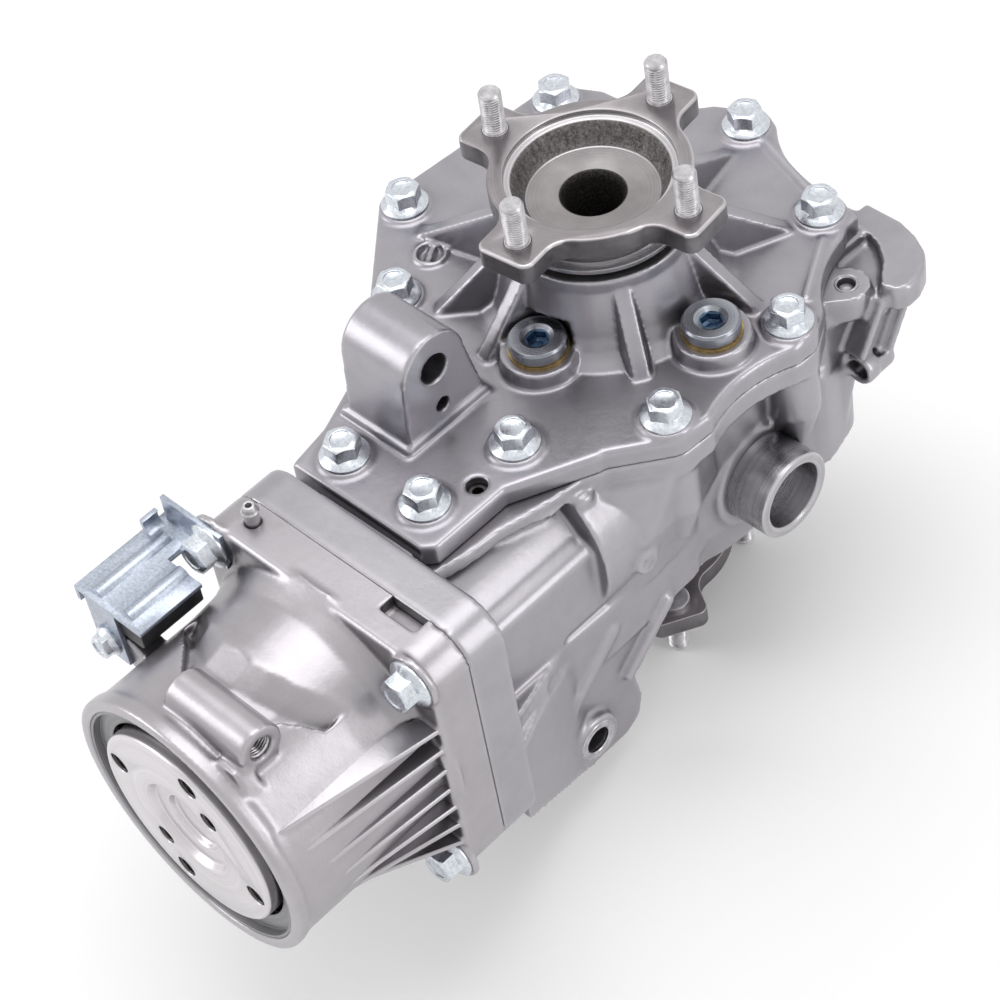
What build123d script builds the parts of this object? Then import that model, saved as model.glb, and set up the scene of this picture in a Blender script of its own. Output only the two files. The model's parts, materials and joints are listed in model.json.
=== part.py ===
from build123d import *
import math
import os

os.makedirs("parts", exist_ok=True)

# Rear final drive with its viscous coupling, in millimetres.
# Z is the output (differential) axis and points up, Y is along the input line,
# whose flange faces -Y, and +X is the side of the round mount tube.
# The origin lies on the output axis, at the height of the input axis.

# Clearances
running_gap = 0.15
roller_gap = 0.12
gear_backlash = 0.35
hypoid_backlash = 1.6
ring_slot_slack = 0.5
screw_clearance = 0.4

# Input line, whose places are distances in front of the output axis
input_offset = 34.6
seam_place = 186.0
flange_depth = 20.0
adapter_depth = 19.5
block_half = 67.0
block_corner = 17.0
drum_length = 101.6
drum_radius = 61.6
hollow_floor_radius = 57.0
# Hollow in front of the boss on the drum: across, then where its slope starts and where its floor starts and ends
hollow_steps = [
    (-42.0, 231.0, 237.0, 240.0),
    (-28.0, 235.0, 245.0, 249.0),
    (-13.5, 238.5, 252.0, 262.0),
    (4.0, 239.5, 253.3, 262.0),
    (12.0, 237.6, 251.5, 262.0),
    (23.0, 234.8, 248.0, 258.0),
    (31.0, 231.3, 243.0, 247.5),
    (40.0, 227.4, 236.0, 239.0),
]
drum_boss_height = 60.0
drum_boss_place = 265.8
drum_boss_radius = 10.3
drum_boss_bore = 5.2
drum_boss_depth = 28.5
drum_boss_left = -8.0
drum_boss_face = 36.5
rim_radius = 62.8
rim_width = 9.0
rim_lip = 5.4
dust_ring_web = 1.3

# Input flange
input_disc_radius = 46.8
input_disc_depth = 9.0
input_face_lead = 1.0
input_hole_radius = 38.9
input_hole_thread = 10.0
input_hole_angle = -17.5
puller_hole_radius = 29.0
puller_hole_angle = 48.3
centre_recess_radius = 22.8
centre_recess_depth = 3.6
centre_pocket_radius = 14.0
centre_pocket_depth = 3.0

# Viscous unit
input_journal = 20.0
input_bearing_bore = 17.5
input_bearing_outer = 31.0
input_bearing_width = 15.0
seal_width = 8.0
unit_radius = 50.0
unit_shell = 3.2
unit_wall = 7.0
unit_length = 54.0
hub_radius = 22.0
plate_thickness = 2.0
plate_pitch = 2.9
plate_count = 12
plate_reach_gap = 1.5
plate_slots = 8

# Hypoid pair
pinion_teeth = 12
ring_teeth = 38
ring_outer = 67.5
ring_inner = 50.0
ring_bore = 46.0
ring_back = 42.0
pinion_addendum = 2.7
ring_addendum = 2.2
root_clearance = 1.2
pressure_angle = 20.0
ring_bolt_count = 8
ring_bolt_circle = 56.0
ring_bolt_thread = 8.0

# Pinion shaft
ring_to_bearing = 0.6
pinion_seat = 17.5
rear_bearing_outer = 34.0
rear_bearing_width = 18.0
spacer_length = 54.0
spacer_wall = 3.0
front_seat = 15.0
front_bearing_outer = 28.0
front_bearing_width = 18.0
nut_width = 10.0
nut_flats = 36.0
pinion_shaft_radius = 14.0
pinion_seal_outer = 28.0

# Differential
diff_module = 3.25
side_teeth = 14
spider_teeth = 10
diff_face = 9.0
case_outer = 35.0
case_inner = 30.7
case_top = 30.0
case_flange = 63.0
case_flange_depth = 8.0
case_register_top = 30.0
case_hub = 17.5
case_bore = 13.7
case_hub_end = 71.0
cross_pin_radius = 7.0
side_gear_back = 24.0
window_half = 17.0
rollers_per_bearing = 12
side_bearing_outer = 31.0
side_bearing_width = 17.0
side_bearing_start = 52.0

# Output flanges
output_face = 117.2
output_plate = 10.0
output_round = 43.0
ear_reach = 61.0
ear_width = 27.0
ear_corner = 5.0
ear_fillet = 11.0
stud_circle = 49.3
stud_thread = 10.0
stud_height = 20.5
stud_shank = 11.0
stud_head = 7.5
stud_head_depth = 3.0
upper_ear_angle = 186.65
lower_ear_angle = -29.7
recess_radius = 36.2
recess_step_radius = 33.6
recess_step_depth = 3.2
recess_floor_radius = 28.2
recess_floor_depth = 13.7
output_bore = 13.8
output_bore_depth = 26.0
output_hub = 38.5
output_journal = 22.0
deflector_radius = 38.0
deflector_depth = 3.0
output_seal_outer = 35.0

# Side cover
cover_seat = 54.0
cover_flange = 12.0
bolt_pad_radius = 12.5
bolt_pad_height = 1.6
boss_base_radius = 47.0
boss_top_radius = 40.5
collar_height = 4.5
boss_top = 91.0
cover_rib_width = 7.0
cover_rib_top = 84.0
cover_ribs = [(-163, 92), (-130, 74), (-99, 67), (-33, 62), (23, 70), (60, 84), (97, 94), (143, 105)]
cover_beads = [((-4, 107), (36, 93.5)), ((58, 74), (75, 43))]
plug_pad_radius = 16.5
plug_pad_top = 60.0
cover_bolts = [
    (-103.4, -19.0),
    (-96.3, 71.1),
    (-15.3, 108.8),
    (46.7, 85.7),
    (78.8, 27.3),
    (74.2, -43.7),
    (35.2, -92.2),
    (-65.4, -61.4),
]
ledge_bolts = [(-16.2, -140.0), (28.8, -138.0)]
scallop_radius = 60.0
cover_scallops = [(143.5, -10.0), (122.8, 89.4), (38.6, 158.7), (-83.9, 150.3)]
ledge_left = -36.0
ledge_right = 48.0
ledge_front = -156.0
fill_plug_place = (10.4, -51.2)
drain_plug_place = (61.2, 0.0)
dowel_place = (37.3, -117.2)
dowel_radius = 4.5
dimple_place = (-72.6, -34.0)
dimple_radius = 8.0
slot_width = 3.0

# Lug on the cover
lug_left = -33.0
lug_right = 4.0
lug_bore_y = -101.5
lug_bore_z = 85.5
lug_bore_radius = 7.0
lug_dome_radius = 17.5
lug_foot_half = 20.5
lug_pin_hole = 3.5
lug_pin_drop = 21.5

# Carrier
bowl_outer = 75.5
bowl_wall = 5.5
carrier_flange = 12.0
bowl_floor = 66.0
cavity_floor = 59.0
neck_radius = 44.0
neck_flare = 60.0
neck_narrow = 112.0
tube_outer = 20.65
tube_bore = 15.6
tube_y = 4.0
tube_z = -22.65
tube_end = 96.9
tube_depth = 18.0
lower_boss_y = -108.0
lower_boss_z = -98.0
lower_boss_radius = 13.0
lower_boss_bore = 6.5
lower_boss_face = 75.0
lower_boss_width = 34.0
arm_face = 70.0
arm_width = 14.0
arm_joint = -108.0
arm_outline = [
    (-20, -44),
    (-40, -57),
    (-60, -68),
    (-77, -86),
    (-74, -104),
    (-77, -115),
    (-86, -120.5),
    (-110, -120.5),
    (-118, -60),
    (-110, -36),
]
arm_ribs = [((-88, -44), (-119, -72)), ((-54, -56), (-82, -80))]
rear_ear_place = (75.0, 67.5)
strut_boss_y = 72.0
strut_boss_z = -1.0

# Fasteners
cover_thread = 10.0
cover_flats = 14.0
cover_bolt_flange = 21.5
cover_bolt_head = 10.0
cover_bolt_length = 24.0
ledge_bolt_length = 22.0
plug_radius = 12.5
plug_depth = 6.0
plug_hex = 10.0
washer_thickness = 1.4

# Bracket and connector
bracket_sheet = 2.0
bracket_width = 41.0
bracket_front = 256.0
bracket_rib = 4.0
connector_depth = 13.0

# Values that follow from the sizes above
block_bolt_reach = block_half - 10.0
bracket_right = input_offset - block_bolt_reach + 9.4
bracket_left = bracket_right - bracket_width
bracket_top = block_bolt_reach - 6.0
bracket_screw_x = bracket_right - 26.0
bracket_screw_z = bracket_top - 21.0
gear_ratio = ring_teeth / pinion_teeth
disc_face = seam_place + drum_length + input_face_lead
disc_back = disc_face - input_disc_depth
nose_end = disc_back - 1.0
seal_back = nose_end - seal_width
bearing_back = seal_back - input_bearing_width
unit_front = bearing_back - 0.5
unit_rear = unit_front - unit_length


# Helpers for turned and extruded shapes
def disc(radius, low, high):
    return Pos(0, 0, low) * Cylinder(radius, high - low, align=(Align.CENTER, Align.CENTER, Align.MIN))


def collar(outer, inner, low, high):
    return disc(outer, low, high) - disc(inner, low, high)


def turned(*points):
    outline = Polyline(*[(radius, 0, height) for radius, height in points], close=True)
    return revolve(make_face(outline), Axis.Z)


def block(x_low, x_high, y_low, y_high, z_low, z_high):
    middle = ((x_low + x_high) / 2, (y_low + y_high) / 2, (z_low + z_high) / 2)
    return Pos(*middle) * Box(x_high - x_low, y_high - y_low, z_high - z_low)


def slab(points, low, high):
    outline = Polyline(*[(x, y, low) for x, y in points], close=True)
    return extrude(make_face(outline), high - low, dir=(0, 0, 1))


def hull_slab(circles, low, high):
    edges = [Pos(x, y, low) * Edge.make_circle(radius) for x, y, radius in circles]
    return extrude(make_hull(edges), high - low, dir=(0, 0, 1))


def on_input(shape):
    """Turns a shape made along +Z so that it lies along the input line, facing -Y."""
    return Pos(input_offset, 0, 0) * Rot(90, 0, 0) * shape


def on_lower(shape):
    """Turns a shape made on the upper output over to the lower one."""
    return Rot(180, 0, 0) * shape


def solids_of(*shapes):
    return [solid for shape in shapes for solid in shape.solids()]


def save(name, *shapes):
    export_step(Compound(solids_of(*shapes)), f"parts/{name}.step")


# Fasteners
def flange_bolt(thread, flats, flange, head, length):
    skirt = turned((0, 0), (flange / 2, 0), (flange / 2, 1.2), (flats * 0.52, 3.4), (0, 3.4))
    hexagon = extrude(RegularPolygon(flats / 2, 6, major_radius=False), head)
    crown = turned((0, 0), (flats * 0.62, 0), (flats * 0.62, head - 1.4), (flats * 0.46, head), (0, head))
    dish = disc(flats * 0.33, head - 0.6, head)
    shank = turned((0, 0.5), (thread / 2, 0.5), (thread / 2, 1 - length), (thread / 2 - 1, -length), (0, -length))
    return skirt + (hexagon & crown) - dish + shank


def plain_screw(thread, flats, head, length):
    hexagon = extrude(RegularPolygon(flats / 2, 6, major_radius=False), head)
    return hexagon + disc(thread / 2, -length, 0.5)


def screw_plug():
    chamfer = 0.8
    head = turned(
        (0, 0),
        (plug_radius, 0),
        (plug_radius, plug_depth - chamfer),
        (plug_radius - chamfer, plug_depth),
        (0, plug_depth),
    )
    socket = extrude(RegularPolygon(plug_hex / 2, 6, major_radius=False), plug_depth)
    rim = disc(plug_hex * 0.75, plug_depth - chamfer, plug_depth)
    shank = disc(plug_radius - 3.0, -plug_depth - 4, 0.5)
    return head + shank - socket - rim


# Taper roller bearing, standing on z = 0 with its large end up
def taper_parts(bore, outer, width):
    middle = (bore + outer) / 2
    roller = (outer - bore) * 0.17
    lean = roller * 0.35
    cone = turned(
        (bore, 0),
        (middle - roller - lean, 0),
        (middle - roller - roller_gap - lean, 2),
        (middle - roller - roller_gap + lean, width - 2.5),
        (middle - roller * 0.4, width - 2.2),
        (middle - roller * 0.4, width),
        (bore, width),
    )
    cup = turned(
        (outer, 0),
        (middle + roller + roller_gap - lean, 0),
        (middle + roller + roller_gap + lean, width - 1.5),
        (outer, width - 1.5),
    )
    axis_low = middle - lean * 0.8
    axis_high = middle + lean * 0.8
    tilt = math.degrees(math.atan2(axis_high - axis_low, width - 5.5))
    seat = Pos(middle, 0, width / 2 - 0.4) * Rot(0, tilt, 0)
    body = seat * Cylinder(roller - 2 * roller_gap, width - 6.5)
    rollers = [Rot(0, 0, 360 * i / rollers_per_bearing) * body for i in range(rollers_per_bearing)]
    return cone, cup, rollers


def ball_parts(bore, outer, width, count):
    middle = (bore + outer) / 2
    ball = (outer - bore) * 0.26
    groove = Torus(middle, ball + roller_gap)
    inner = collar(middle - ball * 0.45, bore, -width / 2, width / 2) - groove
    outer_ring = collar(outer, middle + ball * 0.45, -width / 2, width / 2) - groove
    balls = [Rot(0, 0, 360 * i / count) * Pos(middle, 0, 0) * Sphere(ball) for i in range(count)]
    return inner, outer_ring, balls


# Straight bevel gear about +Z with its pitch apex at the origin
def involute_half_angle(base, radius):
    return math.tan(math.acos(base / radius)) - math.acos(base / radius)


def tooth_outline(teeth, pitch, module, backlash, low, high, steps):
    """Half flank points (across, outward) of an involute tooth, from root to tip."""
    base = pitch * math.cos(math.radians(pressure_angle))
    half = math.pi / 2 / teeth - backlash / 4 / pitch
    shift = half + involute_half_angle(base, pitch)
    points = []
    for i in range(steps + 1):
        radius = max(pitch - low + (low + high) * i / steps, base * 1.001)
        real = pitch - low + (low + high) * i / steps
        angle = shift - involute_half_angle(base, radius)
        points.append((real * math.sin(angle), real * math.cos(angle) - pitch))
    return points


def bevel_gear(teeth, mate_teeth, back, bore):
    pitch = diff_module * teeth / 2
    mate = diff_module * mate_teeth / 2
    cone = math.hypot(pitch, mate)
    lean = math.atan2(pitch, mate)
    virtual_teeth = teeth / math.cos(lean)
    virtual_pitch = pitch / math.cos(lean)
    shrink = (cone - diff_face) / cone
    addendum = diff_module * 0.9
    dedendum = diff_module * 1.15
    half = tooth_outline(virtual_teeth, virtual_pitch, diff_module, gear_backlash, dedendum + 0.4, addendum, 4)
    ring = half + [(-across, out) for across, out in reversed(half)]
    outward = (math.cos(lean), -math.sin(lean))
    along = (math.sin(lean), math.cos(lean))

    def place(across, out, scale):
        radial = cone * along[0] + out * outward[0]
        height = cone * along[1] + out * outward[1]
        return Vector(radial * scale, across * scale, height * scale)

    faces = []
    for scale in (shrink, 1.0):
        wire = Polyline(*[place(across, out, scale) for across, out in ring], close=True)
        faces.append(make_face(wire))
    tooth = loft(faces, ruled=True)
    root_far = (cone * along[0] - dedendum * outward[0], cone * along[1] - dedendum * outward[1])
    root_near = (root_far[0] * shrink, root_far[1] * shrink)
    blank = turned(
        (bore, root_near[1]),
        root_near,
        root_far,
        (root_far[0] * 0.98, back - 1.5),
        (root_far[0] * 0.9, back),
        (bore, back),
    )
    teeth_solids = [Rot(0, 0, 360 * i / teeth) * tooth for i in range(teeth)]
    return blank + teeth_solids


# Hypoid pair
def mesh_distance(ring_radius):
    """How far in front of the output axis the pair meets, at this radius of the ring gear."""
    return math.sqrt(ring_radius**2 - input_offset**2)


def pinion_pitch(distance):
    return (distance**2 + input_offset**2) / distance / gear_ratio


mesh_near = mesh_distance(ring_inner)
mesh_far = mesh_distance(ring_outer)
mesh_middle = (mesh_near + mesh_far) / 2


def pinion_twist(distance):
    lead = math.atan2(distance, input_offset) - math.atan2(mesh_middle, input_offset)
    return math.degrees(lead) * gear_ratio


def pinion_tooth_face(distance):
    """One tooth's section across the pinion axis, pointing down at the middle of the mesh."""
    pitch = pinion_pitch(distance)
    skew = math.atan2(input_offset, distance)
    lean = math.tan(math.radians(pressure_angle)) / math.cos(skew)
    thickness = math.pi * pitch / pinion_teeth - hypoid_backlash
    points = []
    for side in (1, -1):
        levels = (-pinion_addendum * 0.9, 0, pinion_addendum)
        for level in levels[::side]:
            half = thickness / 2 - level * lean - max(level, 0) * 0.15 - (0.25 if level < 0 else 0)
            radius = pitch + level
            points.append((side * half / radius, radius))
    places = [(radius * math.sin(angle), -radius * math.cos(angle), distance) for angle, radius in points]
    return Rot(0, 0, pinion_twist(distance)) * make_face(Polyline(*places, close=True))


def pinion_head():
    steps = 4
    places = [mesh_near + (mesh_far - mesh_near) * i / steps for i in range(steps + 1)]
    tooth = loft([pinion_tooth_face(place) for place in places])
    depth = ring_addendum + root_clearance - 0.3
    core = turned(
        (0, mesh_near),
        (pinion_pitch(mesh_near) - depth, mesh_near),
        (pinion_pitch(mesh_far) - depth, mesh_far),
        (pinion_pitch(mesh_far) - depth, rear_cone_start - 3),
        (pinion_seat + 3, rear_cone_start),
        (0, rear_cone_start),
    )
    teeth = [Rot(0, 0, 360 * i / pinion_teeth) * tooth for i in range(pinion_teeth)]
    return core + teeth


def ring_slot():
    """The gap between two teeth of the ring gear, along +X."""
    faces = []
    for radius in (ring_bore - 1, ring_outer + 1):
        reach = max(radius, input_offset + 20)
        level = -pinion_pitch(mesh_distance(reach))
        if radius < reach:
            level += (reach - radius) * 0.12
        width = math.pi * radius / ring_teeth + ring_slot_slack
        lean = math.tan(math.radians(pressure_angle))
        low = level - pinion_addendum - root_clearance
        high = level + ring_addendum + 1
        wide = width / 2 + (high - level) * lean
        narrow = width / 2 - (level - low) * lean
        corners = [(radius, -wide, high), (radius, wide, high), (radius, narrow, low), (radius, -narrow, low)]
        faces.append(make_face(Polyline(*corners, close=True)))
    return loft(faces, ruled=True)


def ring_gear():
    tip_in = -pinion_pitch(mesh_near) + ring_addendum
    tip_out = -pinion_pitch(mesh_far) + ring_addendum
    tip_bore = tip_in + (tip_in - tip_out) * (ring_inner - ring_bore) / (ring_outer - ring_inner)
    blank = turned((ring_bore, -ring_back), (ring_outer, -ring_back), (ring_outer, tip_out), (ring_bore, tip_bore))
    slot = ring_slot()
    phase = -math.degrees(math.atan2(mesh_middle, input_offset))
    gear = blank - [Rot(0, 0, phase + 360 * i / ring_teeth) * slot for i in range(ring_teeth)]
    hole = disc(ring_bolt_thread / 2, -ring_back, -ring_back + 9)
    return gear - [place * hole for place in PolarLocations(ring_bolt_circle, ring_bolt_count)]


# Differential case and what turns in it
def differential_case():
    body = turned(
        (case_bore, -case_hub_end),
        (case_hub, -case_hub_end),
        (case_hub, -side_bearing_start + 1.5),
        (case_hub + 3, -side_bearing_start + 1.5),
        (case_hub + 3, -ring_back - case_flange_depth),
        (case_flange, -ring_back - case_flange_depth),
        (case_flange, -ring_back),
        (ring_bore, -ring_back),
        (ring_bore, -case_register_top),
        (case_outer, -case_register_top),
        (case_outer, case_top - 4),
        (case_outer - 6, case_top),
        (case_hub + 3, case_top + 2),
        (case_hub + 3, side_bearing_start - 1.5),
        (case_hub, side_bearing_start - 1.5),
        (case_hub, case_hub_end),
        (case_bore, case_hub_end),
    )
    hollow = Sphere(case_inner) & disc(case_inner, -side_gear_back - running_gap, side_gear_back + running_gap)
    window = extrude(Plane.XZ * RectangleRounded(2 * window_half, 36, 8), case_outer + 5, both=True)
    pin_hole = Rot(0, 90, 0) * disc(cross_pin_radius, -case_outer - 1, case_outer + 1)
    bolt_hole = disc(ring_bolt_thread / 2 + screw_clearance, -ring_back - case_flange_depth, -ring_back)
    holes = [place * bolt_hole for place in PolarLocations(ring_bolt_circle, ring_bolt_count)]
    return body - hollow - window - pin_hole - holes


def cross_pin():
    reach = case_outer - 1
    return Rot(0, 90, 0) * turned((0, -reach), (cross_pin_radius, -reach), (cross_pin_radius, reach), (0, reach))


def spider_gear():
    gear = bevel_gear(spider_teeth, side_teeth, case_inner - 1.0, cross_pin_radius + running_gap)
    return Rot(0, 90, 0) * (gear & Sphere(case_inner - 1.2))


def spider_washer():
    shell = Sphere(case_inner - 0.1) - Sphere(case_inner - 1.0)
    return Rot(0, 90, 0) * (shell & disc(11, 10, case_inner + 1)) - Rot(0, 90, 0) * disc(cross_pin_radius, 0, 40)


def side_gear():
    gap_angle = 180 / side_teeth
    return Rot(0, 0, gap_angle) * bevel_gear(side_teeth, spider_teeth, side_gear_back, case_bore - running_gap)


# Output flange, made for the upper side
def ear_sketch():
    shape = Circle(output_round)
    for i in range(4):
        ear = Pos(ear_reach / 2, 0) * RectangleRounded(ear_reach, ear_width, ear_corner)
        shape += Rot(0, 0, 90 * i) * ear
    inner = [v for v in shape.vertices() if abs(v.center().length - output_round) < 0.5]
    return fillet(inner, ear_fillet)


def output_flange():
    under = output_face - output_plate
    plate = Pos(0, 0, under) * extrude(ear_sketch(), output_plate)
    plate = chamfer(plate.edges().group_by(Axis.Z)[-1], 0.8)
    hub = turned(
        (0, cross_pin_radius + 2),
        (case_bore - running_gap, cross_pin_radius + 2),
        (case_bore - running_gap, case_hub_end + 1.5),
        (output_journal, case_hub_end + 3.5),
        (output_journal, boss_top + 2.5),
        (output_hub - 4, boss_top + 4.0),
        (output_hub - 4, under - 5),
        (output_hub, under - 4),
        (output_hub, under + 1),
        (0, under + 1),
    )
    floor = output_face - recess_floor_depth
    recess = turned(
        (0, output_face + 1),
        (recess_radius, output_face + 1),
        (recess_radius, output_face - recess_step_depth),
        (recess_step_radius, output_face - recess_step_depth),
        (recess_step_radius - 1.2, output_face - recess_step_depth - 2.5),
        (recess_floor_radius + 1.5, floor + 2),
        (recess_floor_radius, floor),
        (output_bore, floor),
        (output_bore - 1.5, floor - 3),
        (output_bore - 1.5, floor - output_bore_depth),
        (0, floor - output_bore_depth),
    )
    hole = disc(stud_shank / 2, under - 1, output_face + 1)
    holes = [place * hole for place in PolarLocations(stud_circle, 4)]
    return plate + hub - recess - holes


def output_studs():
    low = output_face - output_plate
    stud = turned(
        (0, low - stud_head_depth),
        (stud_head, low - stud_head_depth),
        (stud_head, low),
        (stud_shank / 2, low),
        (stud_shank / 2, output_face),
        (stud_thread / 2, output_face),
        (stud_thread / 2, output_face + stud_height - 1),
        (stud_thread / 2 - 1, output_face + stud_height),
        (0, output_face + stud_height),
    )
    return [place * stud for place in PolarLocations(stud_circle, 4)]


def output_deflector():
    low = boss_top + 3.2
    return turned(
        (output_hub - 4, low + 1),
        (deflector_radius, low + 1),
        (deflector_radius + 1, low),
        (deflector_radius + 1.6, low + deflector_depth),
        (output_hub - 4, low + deflector_depth),
    )


def output_seal():
    low = boss_top - seal_width
    return turned(
        (output_journal + running_gap, low + 2),
        (output_seal_outer - 4, low),
        (output_seal_outer, low),
        (output_seal_outer, boss_top + 0.6),
        (output_seal_outer - 3, boss_top + 1.4),
        (output_journal + 3, boss_top - 1),
        (output_journal + running_gap, boss_top - 1),
    )


# Castings
def seat_of_output():
    """What is bored out of a casting for the side bearing, the seal and the shaft."""
    bearing_end = side_bearing_start + side_bearing_width
    return (
        disc(side_bearing_outer, cover_seat - cover_flange - 20, bearing_end)
        + disc(side_bearing_outer - 4, bearing_end - 1, boss_top - seal_width + 0.5)
        + disc(output_seal_outer, boss_top - seal_width, boss_top + 1)
    )


def cover_boss():
    return turned(
        (0, cover_seat - 8),
        (boss_base_radius + 12, cover_seat - 8),
        (boss_base_radius + 9, cover_seat - 2),
        (boss_base_radius + 2, cover_seat + 3),
        (boss_base_radius - 1, cover_seat + 10),
        (boss_top_radius, boss_top - collar_height - 2),
        (boss_top_radius, boss_top),
        (0, boss_top),
    )


def cover_rib(angle, reach):
    """A rib from the boss down to the flange, at this angle about the output axis."""
    start = boss_top_radius - 6
    outline = Polyline(
        (start, 0, cover_seat - 6),
        (start, 0, cover_rib_top),
        (boss_top_radius + 1, 0, cover_rib_top),
        (reach, 0, cover_seat - bolt_pad_height),
        (reach, 0, cover_seat - 6),
        close=True,
    )
    return Rot(0, 0, angle) * extrude(make_face(outline), cover_rib_width / 2, both=True)


def cover_lug():
    foot = cover_seat - 1
    left = Line((lug_bore_y - lug_foot_half, foot), (lug_bore_y - lug_dome_radius, lug_bore_z))
    dome = ThreePointArc(
        (lug_bore_y - lug_dome_radius, lug_bore_z),
        (lug_bore_y, lug_bore_z + lug_dome_radius),
        (lug_bore_y + lug_dome_radius, lug_bore_z),
    )
    right = Line((lug_bore_y + lug_dome_radius, lug_bore_z), (lug_bore_y + lug_foot_half + 4, foot))
    base = Line((lug_bore_y + lug_foot_half + 4, foot), (lug_bore_y - lug_foot_half, foot))
    face = make_face(left + dome + right + base)
    lug = extrude(Plane.YZ * face, lug_right - lug_left)
    lug = Pos(lug_left, 0, 0) * lug
    foot_pad = block(
        lug_left - 3, lug_right + 1.5, lug_bore_y - lug_foot_half - 2, lug_bore_y + lug_foot_half + 5, foot - 4, foot + 3
    )
    bore = Pos(0, lug_bore_y, lug_bore_z) * Rot(0, 90, 0) * disc(lug_bore_radius, lug_left - 5, lug_right + 5)
    pin_hole = Pos(0, lug_bore_y + 1, lug_bore_z - lug_pin_drop) * Rot(0, 90, 0) * disc(lug_pin_hole, -8, lug_right + 5)
    return lug + foot_pad - bore - pin_hole


def flange_outline(low, high):
    """The flange that the cover and the carrier share."""
    main = hull_slab([(x, y, bolt_pad_radius) for x, y in cover_bolts], low, high)
    main -= [Pos(x, y, 0) * disc(scallop_radius, low - 1, high + 1) for x, y in cover_scallops]
    ledge = slab(
        [
            (ledge_left, ledge_front + 22),
            (ledge_left + 4, ledge_front),
            (ledge_right - 5, ledge_front),
            (ledge_right, ledge_front + 5),
            (ledge_right, -112),
            (66, -76),
            (74.2, -43.7),
            (-65.4, -61.4),
        ],
        low,
        high,
    )
    corner = slab([(44, 97.8), (60, 95), (60.7, 77), (46.7, 80)], low, high)
    return main + [ledge, corner]


def side_cover():
    low = cover_seat - cover_flange
    plate = flange_outline(low, cover_seat - bolt_pad_height)
    plate = fillet(plate.edges().group_by(Axis.Z)[-1], 2.0)
    pads = [Pos(x, y, 0) * disc(bolt_pad_radius - 0.6, low, cover_seat) for x, y in cover_bolts + ledge_bolts]
    ribs = [cover_rib(angle, reach) for angle, reach in cover_ribs]
    ribs += [hull_slab([(*start, 1.8), (*end, 1.8)], low, cover_seat) for start, end in cover_beads]
    plug_pads = []
    plug_pad = turned((0, low), (plug_pad_radius + 3, low), (plug_pad_radius, plug_pad_top), (0, plug_pad_top))
    for x, y in (fill_plug_place, drain_plug_place):
        plug_pads.append(Pos(x, y, 0) * plug_pad)
    dimple = Pos(*dimple_place, 0) * disc(dimple_radius, low, cover_seat)
    cover = plate + pads + ribs + plug_pads + [cover_boss(), cover_lug(), dimple]
    hollow = turned(
        (0, low - 1),
        (bowl_outer - bowl_wall, low - 1),
        (bowl_outer - bowl_wall - 2, low + 4),
        (case_outer + 6, low + 6),
        (side_bearing_outer - 2, low + 9),
        (0, low + 9),
    )
    cover = cover - hollow - seat_of_output()
    bolt_hole = disc(cover_thread / 2 + screw_clearance, low - 1, cover_seat + 8)
    cover -= [Pos(x, y, 0) * bolt_hole for x, y in cover_bolts + ledge_bolts]
    plug_hole = disc(plug_radius - 3.0, low - 1, plug_pad_top + 1)
    plug_hole += disc(plug_radius + 1.8, plug_pad_top, plug_pad_top + 11)
    cover -= [Pos(x, y, 0) * plug_hole for x, y in (fill_plug_place, drain_plug_place)]
    cover -= Pos(*dowel_place, 0) * disc(dowel_radius, low - 1, cover_seat + 1)
    socket = disc(dimple_radius - 2.2, cover_seat - 3, cover_seat + 1)
    bar = Rot(0, 0, 30) * block(-slot_width / 2, slot_width / 2, -dimple_radius, dimple_radius, cover_seat - 3, cover_seat - 0.8)
    return cover - Pos(*dimple_place, 0) * (socket - bar)


def block_sketch(half, corner):
    return RectangleRounded(2 * half, 2 * half, corner)


def lower_arm():
    """The web under the neck, with its ribs and the round boss for the lower mounting bolt."""
    rear = Polyline(*[(0, y, z) for y, z in arm_outline], close=True)
    web = Pos(arm_face - arm_width, 0, 0) * extrude(make_face(rear), arm_width, dir=(1, 0, 0))
    near = Plane.XZ.offset(-arm_joint) * Pos(arm_face - arm_width / 2, -80.5) * Rectangle(arm_width, 80)
    far = Plane.XZ.offset(seam_place - adapter_depth) * Pos(84, -53) * Rectangle(20, 46)
    wedge = loft([near, far], ruled=True)
    ribs = []
    for start, end in arm_ribs:
        sketch = hull_slab([(-start[1], start[0], 3), (-end[1], end[0], 3)], arm_face - 6, arm_face + 4)
        ribs.append(Rot(0, 90, 0) * sketch)
    boss = Pos(0, lower_boss_y, lower_boss_z) * Rot(0, 90, 0) * disc(
        lower_boss_radius, lower_boss_face - lower_boss_width, lower_boss_face
    )
    return web + [wedge, boss] + ribs


def rear_shelf():
    """The corner of the carrier behind the cover, with its strut down to a small boss."""
    top = cover_seat - cover_flange
    shelf = hull_slab([(30, 95, 13), (68, 98, 13), (79, 92, 14), (80, 84, 13), (60, 60, 13)], top - 18, top - 1)
    shelf = fillet(shelf.edges().group_by(Axis.Z)[-1], 8.0)
    wall = hull_slab([(20, 70, 16), (48, 84, 12), (60, 60, 12)], -30, top - 8)
    ear = Pos(*rear_ear_place, 0) * disc(10, 18, top)
    lobe = hull_slab([(20, 58, 18), (52, 66, 16), (64, 36, 16)], -48, 10)
    lobe = fillet(lobe.edges().group_by(Axis.Z)[0], 10.0)
    strut = hull_slab([(84, strut_boss_y + 2, 4), (70, strut_boss_y - 24, 5)], strut_boss_z, top - 10)
    boss = Pos(0, strut_boss_y, strut_boss_z) * Rot(0, 90, 0) * collar(8, 4, 78, 91)
    return shelf + [wall, ear, lobe, strut, boss]


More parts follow.
